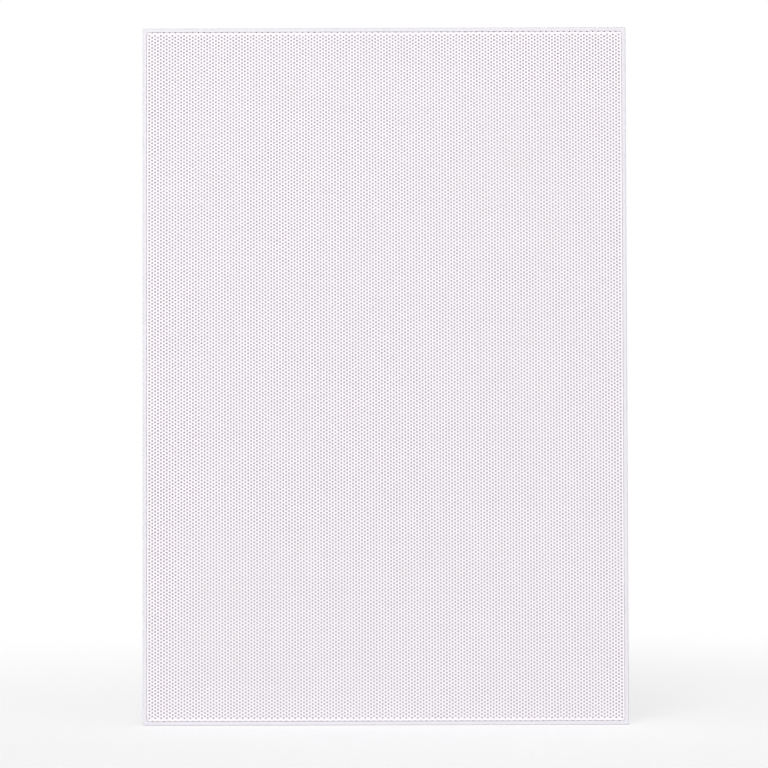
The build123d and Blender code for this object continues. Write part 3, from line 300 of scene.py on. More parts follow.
class Finish:
    """A slot's material: one shader with its constant values on its own sockets, and what feeds the rest."""

    def __init__(self, slot, roughness, metallic=0.0, **sockets):
        self.slot = slot
        self.material = bpy.data.materials.new(slot)
        self.material.use_nodes = True
        self.tree = self.material.node_tree
        self.shader = self.tree.nodes["Principled BSDF"]
        self.shader.inputs["Roughness"].default_value = roughness
        self.shader.inputs["Metallic"].default_value = metallic
        for socket, value in sockets.items():
            self.shader.inputs[socket.replace("_", " ")].default_value = value
        self.place = self.add("ShaderNodeTexCoord").outputs["Object"]

    def add(self, kind, inputs=None, **settings):
        return add_node(self.tree, kind, inputs, **settings)

    def noise(self, size, detail=3.0):
        """Noise whose blotches are about as wide as size."""
        inputs = {"Vector": self.place, "Scale": 1.0 / size, "Detail": detail, "Roughness": NOISE_ROUGHNESS}
        return self.add("ShaderNodeTexNoise", inputs).outputs["Fac"]

    def cells(self, size):
        """Rounded cells about as wide as size."""
        inputs = {"Vector": self.place, "Scale": 1.0 / size}
        return self.add("ShaderNodeTexVoronoi", inputs).outputs["Distance"]

    def bands(self, pitch, direction):
        """Waves along one axis, one to each pitch."""
        inputs = {"Vector": self.place, "Scale": wave_scale(pitch)}
        return self.add("ShaderNodeTexWave", inputs, bands_direction=direction).outputs["Fac"]

    def joined(self, first, second, operation):
        """Two factors, or a factor and a number, made into one."""
        return self.add("ShaderNodeMath", {0: first, 1: second}, operation=operation).outputs["Value"]

    def colour(self, factor, dark, light):
        """Base colour that goes from dark to light as the factor rises."""
        ramp = self.add("ShaderNodeValToRGB", {"Fac": factor})
        for stop, position, colour in zip(ramp.color_ramp.elements, COLOUR_SPAN, (dark, light)):
            stop.position = position
            stop.color = (*colour, 1.0)
        feed(self.tree, self.shader.inputs["Base Color"], ramp.outputs["Color"])

    def polish(self, factor, low, high):
        """Roughness between two values."""
        spread = self.add("ShaderNodeMapRange", {"Value": factor, "To Min": low, "To Max": high})
        feed(self.tree, self.shader.inputs["Roughness"], spread.outputs["Result"])

    def relief(self, height, depth):
        """Bumps as deep as depth."""
        bump = self.add("ShaderNodeBump", {"Height": height, "Distance": depth, "Strength": 1.0})
        feed(self.tree, self.shader.inputs["Normal"], bump.outputs["Normal"])


def shade(colour, factor):
    """A colour made darker or lighter."""
    return tuple(min(1.0, channel * factor) for channel in colour)


def moulded(slot, colour, roughness=0.45, depth=0.012 * MM, spread=0.04, specular=0.5):
    """Moulded plastic with a spark-eroded grain and a faint drift of colour."""
    finish = Finish(slot, roughness, Specular_IOR_Level=specular)
    finish.colour(finish.noise(18 * MM), shade(colour, 1 - spread), shade(colour, 1 + spread))
    finish.polish(finish.noise(4 * MM), roughness - 0.06, roughness + 0.06)
    finish.relief(finish.noise(0.35 * MM, detail=4.0), depth)
    return finish


def painted(slot, colour, roughness, peel=0.6 * MM, depth=0.01 * MM, spread=0.03):
    """Paint or powder coat with a fine orange peel."""
    finish = Finish(slot, roughness)
    finish.colour(finish.noise(25 * MM), shade(colour, 1 - spread), shade(colour, 1 + spread))
    finish.polish(finish.noise(3 * MM), roughness - 0.05, roughness + 0.05)
    finish.relief(finish.cells(peel), depth)
    return finish


def plated(slot, colour, roughness, spread=0.1):
    """Plated or bare metal with fine marks."""
    finish = Finish(slot, roughness, metallic=1.0)
    marks = finish.noise(0.5 * MM, detail=5.0)
    finish.colour(finish.noise(6 * MM, detail=4.0), shade(colour, 1 - spread), shade(colour, 1 + spread))
    finish.polish(marks, roughness - 0.08, roughness + 0.12)
    finish.relief(marks, 0.006 * MM)
    return finish


def woven(slot, dark, light, pitch, depth, roughness=0.85, sheen=0.25):
    """Cloth of crossing threads."""
    finish = Finish(slot, roughness, Sheen_Weight=sheen, Sheen_Roughness=0.6)
    threads = finish.joined(finish.bands(pitch, "X"), finish.bands(pitch, "Z"), "MAXIMUM")
    fuzz = finish.joined(finish.noise(0.25 * MM), 0.5, "MULTIPLY")
    height = finish.joined(threads, fuzz, "ADD")
    finish.colour(finish.joined(height, 1.5, "DIVIDE"), dark, light)
    finish.relief(height, depth)
    return finish


def wound(slot, colour, pitch):
    """Enamelled wire wound along Y."""
    finish = Finish(slot, 0.3, metallic=1.0, Coat_Weight=0.4, Coat_Roughness=0.15)
    turns = finish.bands(pitch, "Y")
    # Painted shade: the colour darkens in the groove between turns, where the bump dips, and it also drifts
    # in patches along the wire
    groove_shade_and_patches = finish.joined(turns, finish.noise(2 * MM), "MULTIPLY")
    finish.colour(groove_shade_and_patches, shade(colour, 0.7), shade(colour, 1.1))
    finish.polish(finish.noise(1.5 * MM), 0.24, 0.38)
    finish.relief(turns, 0.05 * MM)
    return finish


def speckled(slot, dark, light, size, roughness, depth):
    """A sintered or foamed stuff with small pits."""
    finish = Finish(slot, roughness)
    pits = finish.noise(size, detail=6.0)
    finish.colour(pits, dark, light)
    finish.polish(finish.noise(5 * size), roughness - 0.08, roughness + 0.08)
    finish.relief(pits, depth)
    return finish


def rubbery(slot, colour):
    """Matt rubber, a little cloudy."""
    finish = Finish(slot, 0.6, Sheen_Weight=0.08, Specular_IOR_Level=0.35)
    finish.colour(finish.noise(9 * MM, detail=5.0), shade(colour, 0.8), shade(colour, 1.3))
    finish.polish(finish.noise(3 * MM), 0.5, 0.7)
    finish.relief(finish.noise(0.3 * MM, detail=4.0), 0.01 * MM)
    return finish


def coned(slot, colour, centre, pitch=1.2 * MM):
    """Mica-filled sheet with fine rings pressed in about the cone's axis."""
    finish = Finish(slot, 0.38, Coat_Weight=0.08, Coat_Roughness=0.3)
    shift = finish.add("ShaderNodeMapping", {"Vector": finish.place, "Location": (-centre[0], 0, -centre[1])})
    inputs = {"Vector": shift.outputs["Vector"], "Scale": wave_scale(pitch), "Distortion": 0.4}
    rings = finish.add("ShaderNodeTexWave", inputs, wave_type="RINGS", rings_direction="Y").outputs["Fac"]
    flakes = finish.noise(0.4 * MM, detail=6.0)
    finish.colour(flakes, shade(colour, 0.75), shade(colour, 1.5))
    finish.polish(flakes, 0.3, 0.5)
    finish.relief(finish.joined(rings, flakes, "ADD"), 0.012 * MM)
    return finish


def printed_board(slot, colour, pitch=0.9 * MM):
    """Glass laminate under a green mask, its weave just showing."""
    finish = Finish(slot, 0.32, Coat_Weight=0.25, Coat_Roughness=0.2)
    threads = finish.joined(finish.bands(pitch, "X"), finish.bands(pitch, "Z"), "MULTIPLY")
    mix = finish.joined(threads, finish.noise(7 * MM), "ADD")
    finish.colour(finish.joined(mix, 2.0, "DIVIDE"), shade(colour, 0.75), shade(colour, 1.2))
    finish.polish(finish.noise(2 * MM), 0.26, 0.4)
    finish.relief(threads, 0.008 * MM)
    return finish


def make_finishes():
    """A material for each slot of the record, by the slot's name."""
    finishes = (
        moulded("frame_plastic", (0.83, 0.815, 0.857), 0.45, spread=0.012, specular=0.25),
        painted("grille_paint", (0.965, 0.93, 0.962), 0.55, depth=0.004 * MM, spread=0.008),
        # Painted shade: the cloth is white, but its colour here is darkened to a grey that stands for the
        # shade in the holes in front of it
        woven("scrim_cloth", (0.425, 0.387, 0.414), (0.625, 0.585, 0.615), 0.35 * MM, 0.06 * MM),
        plated("magnet_nickel", (0.72, 0.70, 0.66), 0.22),
        moulded("clamp_nylon", (0.03, 0.03, 0.032), 0.5, depth=0.02 * MM, spread=0.25),
        plated("screw_steel", (0.66, 0.64, 0.58), 0.3),
        painted("basket_paint", (0.022, 0.022, 0.024), 0.36, peel=0.9 * MM, depth=0.02 * MM, spread=0.2),
        speckled("gasket_foam", (0.018, 0.018, 0.018), (0.045, 0.045, 0.045), 0.5 * MM, 0.9, 0.12 * MM),
        rubbery("surround_rubber", (0.022, 0.022, 0.023)),
        coned("cone_poly", (0.045, 0.045, 0.048), centre_of("woofer_cone")),
        moulded("cap_poly", (0.035, 0.035, 0.037), 0.35, depth=0.008 * MM, spread=0.2),
        moulded("former_film", (0.42, 0.17, 0.03), 0.28, depth=0.004 * MM, spread=0.15),
        wound("copper_wire", (0.72, 0.30, 0.13), 0.35 * MM),
        woven("spider_cloth", (0.46, 0.30, 0.09), (0.70, 0.51, 0.19), 0.8 * MM, 0.12 * MM),
        plated("plate_zinc", (0.46, 0.452, 0.44), 0.46, spread=0.035),
        speckled("ferrite", (0.035, 0.035, 0.038), (0.085, 0.085, 0.09), 1.2 * MM, 0.55, 0.05 * MM),
        speckled("tag_laminate", (0.20, 0.09, 0.03), (0.34, 0.17, 0.06), 0.8 * MM, 0.6, 0.02 * MM),
        plated("tag_tin", (0.62, 0.605, 0.57), 0.36),
        moulded("swivel_plastic", (0.024, 0.024, 0.026), 0.42, spread=0.2),
        plated("clip_steel", (0.28, 0.28, 0.30), 0.35),
        moulded("faceplate_plastic", (0.028, 0.028, 0.03), 0.36, spread=0.2),
        woven("dome_cloth", (0.02, 0.02, 0.023), (0.05, 0.05, 0.055), 0.3 * MM, 0.03 * MM, 0.55),
        printed_board("board_laminate", (0.025, 0.16, 0.055)),
        moulded("bobbin_plastic", (0.028, 0.028, 0.028), 0.45, spread=0.2),
        moulded("capacitor_sleeve", (0.03, 0.06, 0.2), 0.25, depth=0.005 * MM, spread=0.12),
        moulded("film_capacitor", (0.55, 0.34, 0.04), 0.25, depth=0.005 * MM, spread=0.1),
        speckled("resistor_ceramic", (0.62, 0.60, 0.54), (0.80, 0.78, 0.72), 0.6 * MM, 0.75, 0.04 * MM),
        moulded("terminal_black", (0.018, 0.018, 0.019), 0.28, spread=0.2),
        moulded("terminal_red", (0.44, 0.012, 0.012), 0.28, spread=0.12),
        moulded("terminal_base", (0.026, 0.026, 0.027), 0.45, spread=0.2),
        plated("post_gold", (0.86, 0.62, 0.24), 0.18),
        plated("spring_steel", (0.58, 0.58, 0.56), 0.25),
    )
    return {finish.slot: finish.material for finish in finishes}


def fold_inset(x, z, half_width, half_height):
    """Distance of a point inside the rounded outline of the grille."""
    past_x = np.abs(x) - (half_width - GRILLE_CORNER)
    past_z = np.abs(z) - (half_height - GRILLE_CORNER)
    outside = np.hypot(np.maximum(past_x, 0), np.maximum(past_z, 0))
    return GRILLE_CORNER - outside - np.minimum(np.maximum(past_x, past_z), 0)


def fold_depth(inset):
    """How far the folded edge has dropped behind the front at a distance inside the outline."""
    run = GRILLE_BEND - np.clip(inset, 0, GRILLE_BEND)
    return GRILLE_BEND - np.sqrt(GRILLE_BEND ** 2 - run ** 2)


class Lattice:
    """The staggered holes of the grille. Even columns are long, odd columns have one hole less."""

    def __init__(self):
        low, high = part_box("grille")
        self.half_width = (high.x - low.x) / 2 + GRILLE_COAT
        self.half_height = (high.z - low.z) / 2 + GRILLE_COAT
        self.front = low.y
        self.rim_end = high.y
        self.columns = 2 * int((self.half_width - HOLE_EDGE) / COLUMN_PITCH) + 1
        self.rows = 2 * int((self.half_height - HOLE_EDGE) / HOLE_PITCH + 0.5)
        self.last = self.columns - 1
        self.count = self.hole(self.last, self.rows - 1) + 1

    def hole(self, column, row):
        """A hole's number, counted up each column and from the left."""
        return column * self.rows - column // 2 + row

    def holes(self, first_column, first_row, last_row, last_column=None):
        """Columns and rows of every other column's holes, as two flat arrays."""
        last_column = self.last if last_column is None else last_column
        column, row = np.meshgrid(
            np.arange(first_column, last_column + 1, 2), np.arange(first_row, last_row + 1), indexing="ij")
        return column.ravel(), row.ravel()

    def corner(self, holes, side):
        """A hole's front corner, counted from the right and turning upwards."""
        return HOLE_SIDES * holes + side

    def centres(self):
        """Places of the holes' centres, and their columns."""
        x = np.zeros(self.count)
        z = np.zeros(self.count)
        column = np.zeros(self.count, int)
        for first_column, last_row in ((0, self.rows - 1), (1, self.rows - 2)):
            columns, rows = self.holes(first_column, 0, last_row)
            number = self.hole(columns, rows)
            x[number] = (columns - self.last / 2) * COLUMN_PITCH
            z[number] = (rows - last_row / 2) * HOLE_PITCH
            column[number] = columns
        return x, z, column

    def web(self):
        """Faces between neighbouring holes: a bridge to each neighbour, a triangle between each three."""
        top = self.rows - 1
        at = self.corner
        bridges = []
        triangles = []
        for first, last_row in ((0, top - 1), (1, top - 2)):
            column, row = self.holes(first, 0, last_row)
            below = self.hole(column, row)
            above = self.hole(column, row + 1)
            bridges.append((at(below, 2), at(below, 1), at(above, 5), at(above, 4)))
        for left, right in (self.pairs((0, 0, top - 1), 0), self.pairs((1, 0, top - 1), 1)):
            bridges.append((at(left, 0), at(right, 4), at(right, 3), at(left, 1)))
        for left, right in (self.pairs((0, 1, top), -1), self.pairs((1, 0, top - 1), 0)):
            bridges.append((at(left, 0), at(left, 5), at(right, 3), at(right, 2)))
        for first, first_row, up in ((0, 1, 0), (1, 0, 1)):
            column, row = self.holes(first, first_row, top - 1, self.last - 1)
            below = self.hole(column + 1, row + up - 1)
            above = self.hole(column + 1, row + up)
            triangles.append((at(self.hole(column, row), 0), at(below, 2), at(above, 4)))
            column, row = self.holes(2 - first, first_row, top - 1)
            below = self.hole(column - 1, row + up - 1)
            above = self.hole(column - 1, row + up)
            triangles.append((at(self.hole(column, row), 3), at(above, 5), at(below, 1)))
        return stacked(*bridges), stacked(*triangles)

    def pairs(self, rows, step):
        """Each hole and its neighbour a column to the right and a step of rows up."""
        column, row = self.holes(*rows, self.last - 1)
        return self.hole(column, row), self.hole(column + 1, row + step)

    def walls(self):
        """Faces down the sides of the holes, whose back corners are numbered after all the front ones."""
        hole = np.arange(self.count)
        back = HOLE_SIDES * self.count
        faces = []
        for side in range(HOLE_SIDES):
            here = self.corner(hole, side)
            after = self.corner(hole, (side + 1) % HOLE_SIDES)
            faces.append((here, after, back + after, back + here))
        return stacked(*faces)


class Field:
    """The perforated front: the holes' front corners, their back corners, and a loop of points round them.

    Half a turn about its middle brings it onto itself, so half of its edge is worked out and then turned.
    """

    def __init__(self):
        self.lattice = Lattice()
        self.corner_count = HOLE_SIDES * self.lattice.count
        self.back = slice(self.corner_count, 2 * self.corner_count)
        self.hole_x, self.hole_z, hole_column = self.lattice.centres()
        # A polygon with the area of the round hole
        step = 2 * math.pi / HOLE_SIDES
        self.reach = HOLE_DIAMETER / 2 * math.sqrt(step / math.sin(step))
        turn = step * np.arange(HOLE_SIDES)
        ring_x = (self.hole_x[:, None] + self.reach * np.cos(turn)).ravel()
        ring_z = (self.hole_z[:, None] + self.reach * np.sin(turn)).ravel()
        ring_column = np.repeat(hole_column, HOLE_SIDES)
        edge_x, edge_z, edge_column = self.edge()
        self.x = np.concatenate([ring_x, ring_x, edge_x])
        self.z = np.concatenate([ring_z, ring_z, edge_z])
        self.column = np.concatenate([ring_column, ring_column, edge_column])
        self.loop = np.arange(2 * self.corner_count, len(self.x))
        # Places in the loop of the lower right corner and of the end of the right side
        self.turning = 1 + 2 * self.lattice.columns
        self.half = len(self.loop) // 2

    def edge(self):
        """The loop from the lower left corner to the right and up: two points beside each outer hole."""
        lattice = self.lattice
        edge_x = lattice.half_width - FIELD_INSET
        edge_z = lattice.half_height - FIELD_INSET
        half_flat = self.reach * math.sin(math.pi / HOLE_SIDES * 2)
        columns = np.arange(lattice.columns)
        lower = self.hole_x[lattice.hole(columns, 0)]
        right = self.hole_z[lattice.hole(lattice.last, np.arange(lattice.rows))]
        lower = np.stack([lower - self.reach / 2, lower + self.reach / 2], axis=-1).ravel()
        right = np.stack([right - half_flat, right + half_flat], axis=-1).ravel()
        x = np.concatenate([[-edge_x], lower, np.full(1 + len(right), edge_x)])
        z = np.concatenate([np.full(2 + len(lower), -edge_z), right])
        column = np.concatenate([[0], np.repeat(columns, 2), np.full(1 + len(right), lattice.last)])
        return np.append(x, -x), np.append(z, -z), np.append(column, lattice.last - column)

    def opposite(self, points):
        """The points half a turn away from front corners of holes and points of the loop."""
        hole, side = np.divmod(points, HOLE_SIDES)
        corner = self.lattice.corner(self.lattice.count - 1 - hole, (side + HOLE_SIDES // 2) % HOLE_SIDES)
        place = (points - self.loop[0] + self.half) % len(self.loop)
        return np.where(points < self.corner_count, corner, self.loop[place])

    def edge_faces(self):
        """Faces between the outer holes and the loop, as four-cornered and three-cornered ones."""
        lattice = self.lattice
        at = lattice.corner
        loop = self.loop
        lower = lattice.hole(np.arange(lattice.columns), 0)
        right = lattice.hole(lattice.last, np.arange(lattice.rows))
        first, second = loop[1:self.turning].reshape(-1, 2).T
        low, high = loop[self.turning + 1:self.half].reshape(-1, 2).T
        long = slice(0, -1, 2)
        short = slice(1, None, 2)
        next_long = slice(2, None, 2)
        quads = stacked(
            (first, second, at(lower, 5), at(lower, 4)),
            (at(lower[long], 0), at(lower[long], 5), second[long], at(lower[short], 4)),
            (at(lower[short], 5), first[next_long], at(lower[next_long], 4), at(lower[next_long], 3)),
            (at(right[:-1], 1), high[:-1], low[1:], at(right[1:], 5)),
            (loop[:1], first[:1], at(lower[:1], 4), loop[-1:]),
            (second[-1:], loop[self.turning:self.turning + 1], low[:1], at(lower[-1:], 5)))
        triangles = stacked(
            (second[long], first[short], at(lower[short], 4)),
            (second[short], first[next_long], at(lower[short], 5)),
            (low, high, at(right, 0)), (high, at(right, 1), at(right, 0)), (low, at(right, 0), at(right, 5)))
        return [faces + [self.opposite(face) for face in faces] for faces in (quads, triangles)]

    def notches(self):
        """Stretches of the loop with a hole on the fold: by the short columns, and between the rows."""
        ends = np.zeros(self.half, bool)
        ends[3:self.turning:4] = True
        sides = np.zeros(self.half, bool)
        sides[self.turning + 2:self.half - 1:2] = True
        return np.tile(ends, 2), np.tile(sides, 2)

    def points(self):
        """Every point in place, on the flat front or on the start of the fold."""
        inset = fold_inset(self.x, self.z, self.lattice.half_width, self.lattice.half_height)
        depth = self.lattice.front + fold_depth(inset)
        depth[self.back] += GRILLE_SHEET
        return np.stack([self.x, depth, self.z], axis=-1)

    def texture_map(self):
        """The field seen from the front, with the holes' walls folded inwards."""
        flat = np.stack([self.x, self.z], axis=-1)
        middle = np.repeat(np.stack([self.hole_x, self.hole_z], axis=-1), HOLE_SIDES, axis=0)
        flat[self.back] = middle + WALL_IN_MAP * (flat[self.back] - middle)
        return flat

    def pieces(self):
        """The field as mesh objects, split into bands from left to right."""
        points = self.points()
        texture_map = self.texture_map()
        web_quads, web_triangles = self.lattice.web()
        edge_quads, edge_triangles = self.edge_faces()
        quads = np.concatenate(web_quads + self.lattice.walls() + edge_quads)
        triangles = np.concatenate(web_triangles + edge_triangles)
        band_of = self.column * BAND_COUNT // self.lattice.columns
        pieces = []
        for band in range(BAND_COUNT):
            own_quads = quads[band_of[quads[:, 0]] == band]
            own_triangles = triangles[band_of[triangles[:, 0]] == band]
            corners = np.concatenate([own_quads.ravel(), own_triangles.ravel()])
            used, renumbered = np.unique(corners, return_inverse=True)
            spread = texture_map[used] - texture_map[used].min(0)
            pieces.append(mesh_piece(
                f"grille_front_{band + 1}", points[used], renumbered[:own_quads.size],
                renumbered[own_quads.size:], spread / spread.max()))
        return pieces

    def folded_rim(self):
        """The fold round the grille, from the edge of the field to the end of its rim and back up."""
        lattice = self.lattice
        edge = self.points()[self.loop][:, [0, 2]]
        inner = np.array([lattice.half_width, lattice.half_height]) - GRILLE_CORNER
        anchor = np.clip(edge, -inner, inner)
        outward = edge - anchor
        reach = np.linalg.norm(outward, axis=1)
        outward /= reach[:, None]
        outline = anchor + GRILLE_CORNER * outward
        start = np.arcsin(1 - (GRILLE_CORNER - reach) / GRILLE_BEND)
        rows = []
        for step in range(BEND_STEPS + 1):
            angle = start + (math.pi / 2 - start) * step / BEND_STEPS
            rows.append((GRILLE_BEND * (1 - np.sin(angle)), GRILLE_BEND * (1 - np.cos(angle))))
        rim = lattice.rim_end - lattice.front
        for inset, depth in (
                (0.0, GRILLE_BEND + NOTCH_DROP), (0.0, rim),
                (GRILLE_SHEET, rim), (GRILLE_SHEET, GRILLE_SHEET)):
            rows.append((np.full(len(edge), inset), np.full(len(edge), depth)))
        points = []
        for inset, depth in rows:
            place = outline - inset[:, None] * outward
            points.append(np.stack([place[:, 0], lattice.front + depth, place[:, 1]], axis=-1))
        faces = grid_faces(len(rows), len(edge), close_columns=True)[:, ::-1]
        row = np.repeat(np.arange(len(rows) - 1), len(edge))
        ends, sides = (np.tile(notch, len(rows) - 1) for notch in self.notches())
        holes = (ends & (row < END_NOTCH_STEPS)) | (sides & (row >= SIDE_NOTCH_STEP) & (row <= BEND_STEPS))
        return mesh_piece("grille_fold", np.concatenate(points), faces[~holes])


def build_grille(finishes):
    """The perforated sheet and its fold."""
    field = Field()
    for piece in [*field.pieces(), field.folded_rim()]:
        dress(piece, "grille", finishes)
        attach(piece, "grille")


def build_scrim(finishes):
    """The cloth glued behind the perforated sheet, as a thin closed sheet."""
    low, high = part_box("grille_scrim")
    grille_low, grille_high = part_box("grille")
    half_width = (grille_high.x - grille_low.x) / 2 - GRILLE_SHEET - SCRIM_GAP
    half_height = (grille_high.z - grille_low.z) / 2 - GRILLE_SHEET - SCRIM_GAP
    x_count = int(2 * half_width / SCRIM_STEP)
    z_count = int(2 * half_height / SCRIM_STEP)
    x, z = np.meshgrid(
        np.linspace(-half_width, half_width, x_count + 1),
        np.linspace(-half_height, half_height, z_count + 1), indexing="ij")
    front = np.stack([x, np.full_like(x, low.y + SCRIM_GAP), z], axis=-1).reshape(-1, 3)
    back = np.stack([x, np.full_like(x, high.y), z], axis=-1).reshape(-1, 3)
    faces = grid_faces(x_count + 1, z_count + 1)
    number = np.arange(len(front)).reshape(x_count + 1, z_count + 1)
    rim = np.concatenate([number[:, 0], number[-1, 1:], number[-2::-1, -1], number[0, -2:0:-1]])
    after = np.roll(rim, -1)
    sides = np.stack([rim, after, after + len(front), rim + len(front)], axis=-1)
    piece = mesh_piece(
        "grille_cloth", np.concatenate([front, back]),
        np.concatenate([faces[:, ::-1], faces + len(front), sides]))
    dress(piece, "grille_scrim", finishes)
    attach(piece, "grille")


def radial_blend(piece):
    """Bakes a round piece's place into its mesh and reads its points."""
    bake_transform(piece)
    points = np.zeros(3 * len(piece.data.vertices))
    piece.data.vertices.foreach_get("co", points)
    points = points.reshape(-1, 3)


def build_surround(finishes):
    """The woofer's half roll."""
    low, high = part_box("woofer_surround")
    centre = centre_of("woofer_surround")
    rim = (high.x - low.x) / 2
    outer = rim - SURROUND_LAND
    inner = outer - ROLL_WIDTH
    back = high.y
    front = back - SURROUND_SHEET
    middle = (outer + inner) / 2
    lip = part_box("woofer_cone")[1].x - centre[0] - SURROUND_GLUE
    hollow = ROLL_WIDTH / 2 - SURROUND_SHEET
    outline = [(rim, back), (rim, front)]
    outline += arc((middle, front), ROLL_WIDTH / 2, 0, -180, ROLL_STEPS)
    outline += [(lip, front), (lip, back), (middle - hollow, back)]
    outline += arc((middle, front), hollow, -180, 0, HOLLOW_STEPS)
    outline += [(middle + hollow, back)]
    piece = turned("woofer_half_roll", outline, centre)
    dress(piece, "woofer_surround", finishes)
    radial_blend(piece)


def build_spider(finishes):
    """The woofer's corrugated suspension."""
    low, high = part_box("woofer_spider")
    centre = centre_of("woofer_spider")
    rim = (high.x - low.x) / 2
    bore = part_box("woofer_coil_former")[1].x - centre[0] + SPIDER_GAP
    start = rim - SPIDER_LAND
    end = bore + SPIDER_COLLAR
    face = (low.y + high.y) / 2 + SPIDER_SHEET / 2
    radius = np.concatenate([[rim], np.linspace(start, end, WAVE_STEPS * SPIDER_WAVES + 1), [bore]])
    share = np.clip((start - radius) / (start - end), 0, 1)
    wave = face - SPIDER_SWING * np.sin(2 * math.pi * SPIDER_WAVES * share)
    outline = list(zip(radius, wave - SPIDER_SHEET)) + list(zip(radius[::-1], wave[::-1]))
    piece = turned("woofer_corrugated_spider", outline, centre)
    dress(piece, "woofer_spider", finishes)
    radial_blend(piece)


def dome_line(base, land):
    """One face of the dome, its roll and its land, from the middle outwards, in (radius, Y)."""
    half = DOME_ROLL_WIDTH / 2
    line = dome_arc(DOME_RADIUS, base, DOME_HEIGHT, DOME_STEPS)
    line[0] = (DOME_MIDDLE, line[0][1])
    for turn in np.linspace(0, math.pi, DOME_ROLL_STEPS + 1)[1:]:
        line.append((DOME_RADIUS + half * (1 - math.cos(turn)), base - DOME_ROLL_HEIGHT * math.sin(turn)))
    line.append((land, base))
    return line


def build_dome(finishes):
    """The tweeter's cloth dome with its roll and its land."""
    low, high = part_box("tweeter_diaphragm")
    centre = centre_of("tweeter_diaphragm")
    land = (high.x - low.x) / 2
    front = dome_line(high.y - DOME_SHEET, land)
    back = dome_line(high.y, land)
    piece = turned("tweeter_cloth_dome", back + front[::-1], centre)
    dress(piece, "tweeter_diaphragm", finishes)
    radial_blend(piece)


def build_springs(finishes):
    """The coil springs under the terminals' caps."""
    for colour in ("red", "black"):
        node = f"terminal_spring_{colour}"
        low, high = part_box(node)
        x, z = centre_of(node)
        radius = (high.x - low.x) / 2 - SPRING_WIRE
        share = np.linspace(0, 1, SPRING_STEPS * SPRING_TURNS + 1)
        angle = 2 * math.pi * SPRING_TURNS * share
        path = np.stack([
            x + radius * np.cos(angle), low.y + SPRING_WIRE + share * (high.y - low.y - 2 * SPRING_WIRE),
            z + radius * np.sin(angle)], axis=-1)
        piece = spring_wire(f"terminal_coil_{colour}", path)
        dress(piece, node, finishes)
        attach(piece, "frame")
        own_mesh(piece)


def build_inductor(finishes):
    """The crossover's coil, turn by turn on its outside."""
    node = "crossover_winding"
    low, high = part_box(node)
    outer = (high.x - low.x) / 2
    bobbin_low, bobbin_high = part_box("crossover_bobbin")
    inner = (bobbin_high.x - bobbin_low.x) / 2 - WINDING_INSET
    turns = round((high.y - low.y) / WIRE_PITCH)
    half = (high.y - low.y) / turns / 2
    outline = [(inner, low.y)]
    for turn in range(turns):
        middle = (outer - half, low.y + (2 * turn + 1) * half)
        outline += arc(middle, half, -WIRE_ARC, WIRE_ARC, WIRE_STEPS)
    outline += [(inner, high.y)]
    piece = turned("crossover_coil", outline[::-1], centre_of(node), WINDING_ROUND_STEPS, smooth_angle=50.0)
    dress(piece, node, finishes)
    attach(piece, "frame")


def build_threads(finishes):
    """The thread of each clamp's screw, a ridge round its shank."""
    for node in sorted(NODES):
        if not node.startswith("clamp_screw_"):
            continue
        low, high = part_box(node)
        x, z = centre_of(node)
        start = low.y + THREAD_START
        turns = (high.y - start) / THREAD_PITCH
        share = np.linspace(0, 1, int(THREAD_STEPS * turns))
        angle = 2 * math.pi * turns * share
        height = start + share * (high.y - start)
        half = THREAD_WIDTH * THREAD_PITCH / 2
        fade = np.minimum(1, np.minimum(share, 1 - share) * turns)
        root = np.full_like(share, THREAD_ROOT)
        crest = THREAD_ROOT + (THREAD_CREST - THREAD_ROOT) * fade
        rows = []
        for radius, shift in ((root, -half), (crest, 0.0), (root, half)):
            y = np.clip(height + shift, start, high.y)
            rows.append(np.stack([x + radius * np.cos(angle), y, z + radius * np.sin(angle)], axis=-1))
        faces = grid_faces(len(rows), len(share))
        piece = mesh_piece(node.replace("screw", "thread"), np.concatenate(rows), faces, smooth_angle=60.0)
        piece.data.materials.append(finishes[SLOTS[node]])
        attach(piece, node)


def finish_nodes(finishes):
    """Every solid that stays in view takes the finish of its slot."""
    for name, node in NODES.items():
        node.data.materials.clear()
        node.data.materials.append(finishes[SLOTS[name]])


def seen_directly(tree):
    """A factor that is one for what the camera sees, also in a mirror or through glass."""
    rays = add_node(tree, "ShaderNodeLightPath").outputs
    factor = rays["Is Camera Ray"]
    for ray in ("Is Glossy Ray", "Is Transmission Ray"):
        either = add_node(tree, "ShaderNodeMath", {0: factor, 1: rays[ray]}, operation="MAXIMUM")
        factor = either.outputs["Value"]
    return factor


def mixed(tree, factor, first, second):
    """The first shader where the factor is zero, the second where it is one."""
    return add_node(tree, "ShaderNodeMixShader", {"Fac": factor, 1: first, 2: second}).outputs["Shader"]


def build_world():
    """Plain white where it is seen directly, and otherwise a pale light that fades from front to back."""
    world = bpy.data.worlds.new("studio")
    bpy.context.scene.world = world
    world.use_nodes = True
    tree = world.node_tree
    way = add_node(tree, "ShaderNodeTexCoord").outputs["Generated"]
    fade = add_node(tree, "ShaderNodeMapRange", {
        "Value": add_node(tree, "ShaderNodeSeparateXYZ", {"Vector": way}).outputs["Y"],
        "From Min": -1.0, "From Max": AMBIENT_TURN, "To Min": AMBIENT_FRONT, "To Max": AMBIENT_BACK})
    ambient = tree.nodes["Background"]
    feed(tree, ambient.inputs["Color"], (*AMBIENT_COLOUR, 1.0))
    feed(tree, ambient.inputs["Strength"], fade.outputs["Result"])
    white = add_node(tree, "ShaderNodeBackground", {"Color": (1.0, 1.0, 1.0, 1.0), "Strength": 1.0})
    surface = mixed(tree, seen_directly(tree), ambient.outputs["Background"], white.outputs["Background"])
    feed(tree, tree.nodes["World Output"].inputs["Surface"], surface)


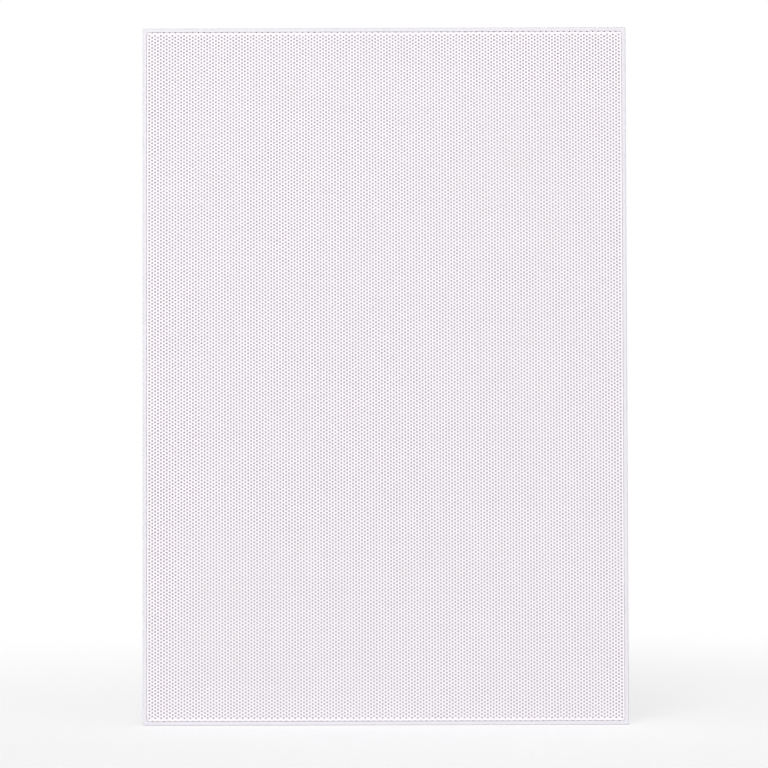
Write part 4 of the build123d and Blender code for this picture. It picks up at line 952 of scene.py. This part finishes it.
def build_floor():
    """A pale floor under the lower edge, white to the camera except in the object's shadow."""
    half = FLOOR_SIZE / 2
    ground = CAD_BOX[0].z
    points = [(-half, -half, ground), (half, -half, ground), (half, half, ground), (-half, half, ground)]
    floor = mesh_piece("floor", points, [(0, 1, 2, 3)])
    material = bpy.data.materials.new("floor_white")
    material.use_nodes = True
    tree = material.node_tree
    tree.nodes.remove(tree.nodes["Principled BSDF"])
    grey = (FLOOR_SHARE, FLOOR_SHARE, FLOOR_SHARE, 1.0)
    plain = add_node(tree, "ShaderNodeBsdfDiffuse", {"Color": grey}).outputs["BSDF"]
    glow = add_node(tree, "ShaderNodeEmission", {"Strength": FLOOR_GLOW}).outputs["Emission"]
    near = add_node(tree, "ShaderNodeAddShader", {0: plain, 1: glow}).outputs["Shader"]
    far = add_node(tree, "ShaderNodeEmission").outputs["Emission"]
    place = add_node(tree, "ShaderNodeTexCoord").outputs["Object"]
    fade = add_node(tree, "ShaderNodeMapRange", {
        "Value": add_node(tree, "ShaderNodeVectorMath", {0: place}, operation="LENGTH").outputs["Value"],
        "From Min": SHADOW_REACH[0], "From Max": SHADOW_REACH[1]}, interpolation_type="SMOOTHSTEP")
    seen = mixed(tree, fade.outputs["Result"], near, far)
    surface = mixed(tree, seen_directly(tree), plain, seen)
    feed(tree, tree.nodes["Material Output"].inputs["Surface"], surface)
    floor.data.materials.append(material)


def build_lamp(name, place, size, power):
    """A soft lamp, as wide and high as size says, that faces the object."""
    data = bpy.data.lights.new(name, "AREA")
    data.shape = "RECTANGLE"
    data.size, data.size_y = size
    data.energy = power
    lamp = bpy.data.objects.new(name, data)
    lamp.location = place
    lamp.rotation_euler = (-Vector(place)).to_track_quat("-Z", "Y").to_euler()
    bpy.context.scene.collection.objects.link(lamp)


def build_camera():
    """The camera at the photograph's viewing angle."""
    forward = Vector((
        math.sin(CAMERA_YAW) * math.cos(CAMERA_PITCH), math.cos(CAMERA_YAW) * math.cos(CAMERA_PITCH),
        math.sin(CAMERA_PITCH)))
    level = Vector((math.cos(CAMERA_YAW), -math.sin(CAMERA_YAW), 0.0))
    upright = level.cross(forward)
    right = math.cos(CAMERA_ROLL) * level + math.sin(CAMERA_ROLL) * upright
    up = right.cross(forward)
    data = bpy.data.cameras.new("camera")
    data.lens = CAMERA_FOCUS * data.sensor_width / PICTURE_WIDTH
    camera = bpy.data.objects.new("camera", data)
    turn = Matrix((right, up, -forward)).transposed()
    camera.matrix_world = Matrix.Translation(CAMERA_PLACE) @ turn.to_4x4()
    bpy.context.scene.collection.objects.link(camera)
    bpy.context.scene.camera = camera


finishes = make_finishes()
finish_nodes(finishes)
build_grille(finishes)
build_scrim(finishes)
build_surround(finishes)
build_spider(finishes)
build_dome(finishes)
build_springs(finishes)
build_inductor(finishes)
build_threads(finishes)
build_world()
build_floor()
build_lamp("key", KEY_PLACE, KEY_SIZE, KEY_POWER)
build_lamp("back", BACK_PLACE, BACK_SIZE, BACK_POWER)
build_lamp("fill", FILL_PLACE, FILL_SIZE, FILL_POWER)
build_camera()
bpy.context.scene.view_settings.view_transform = "Standard"
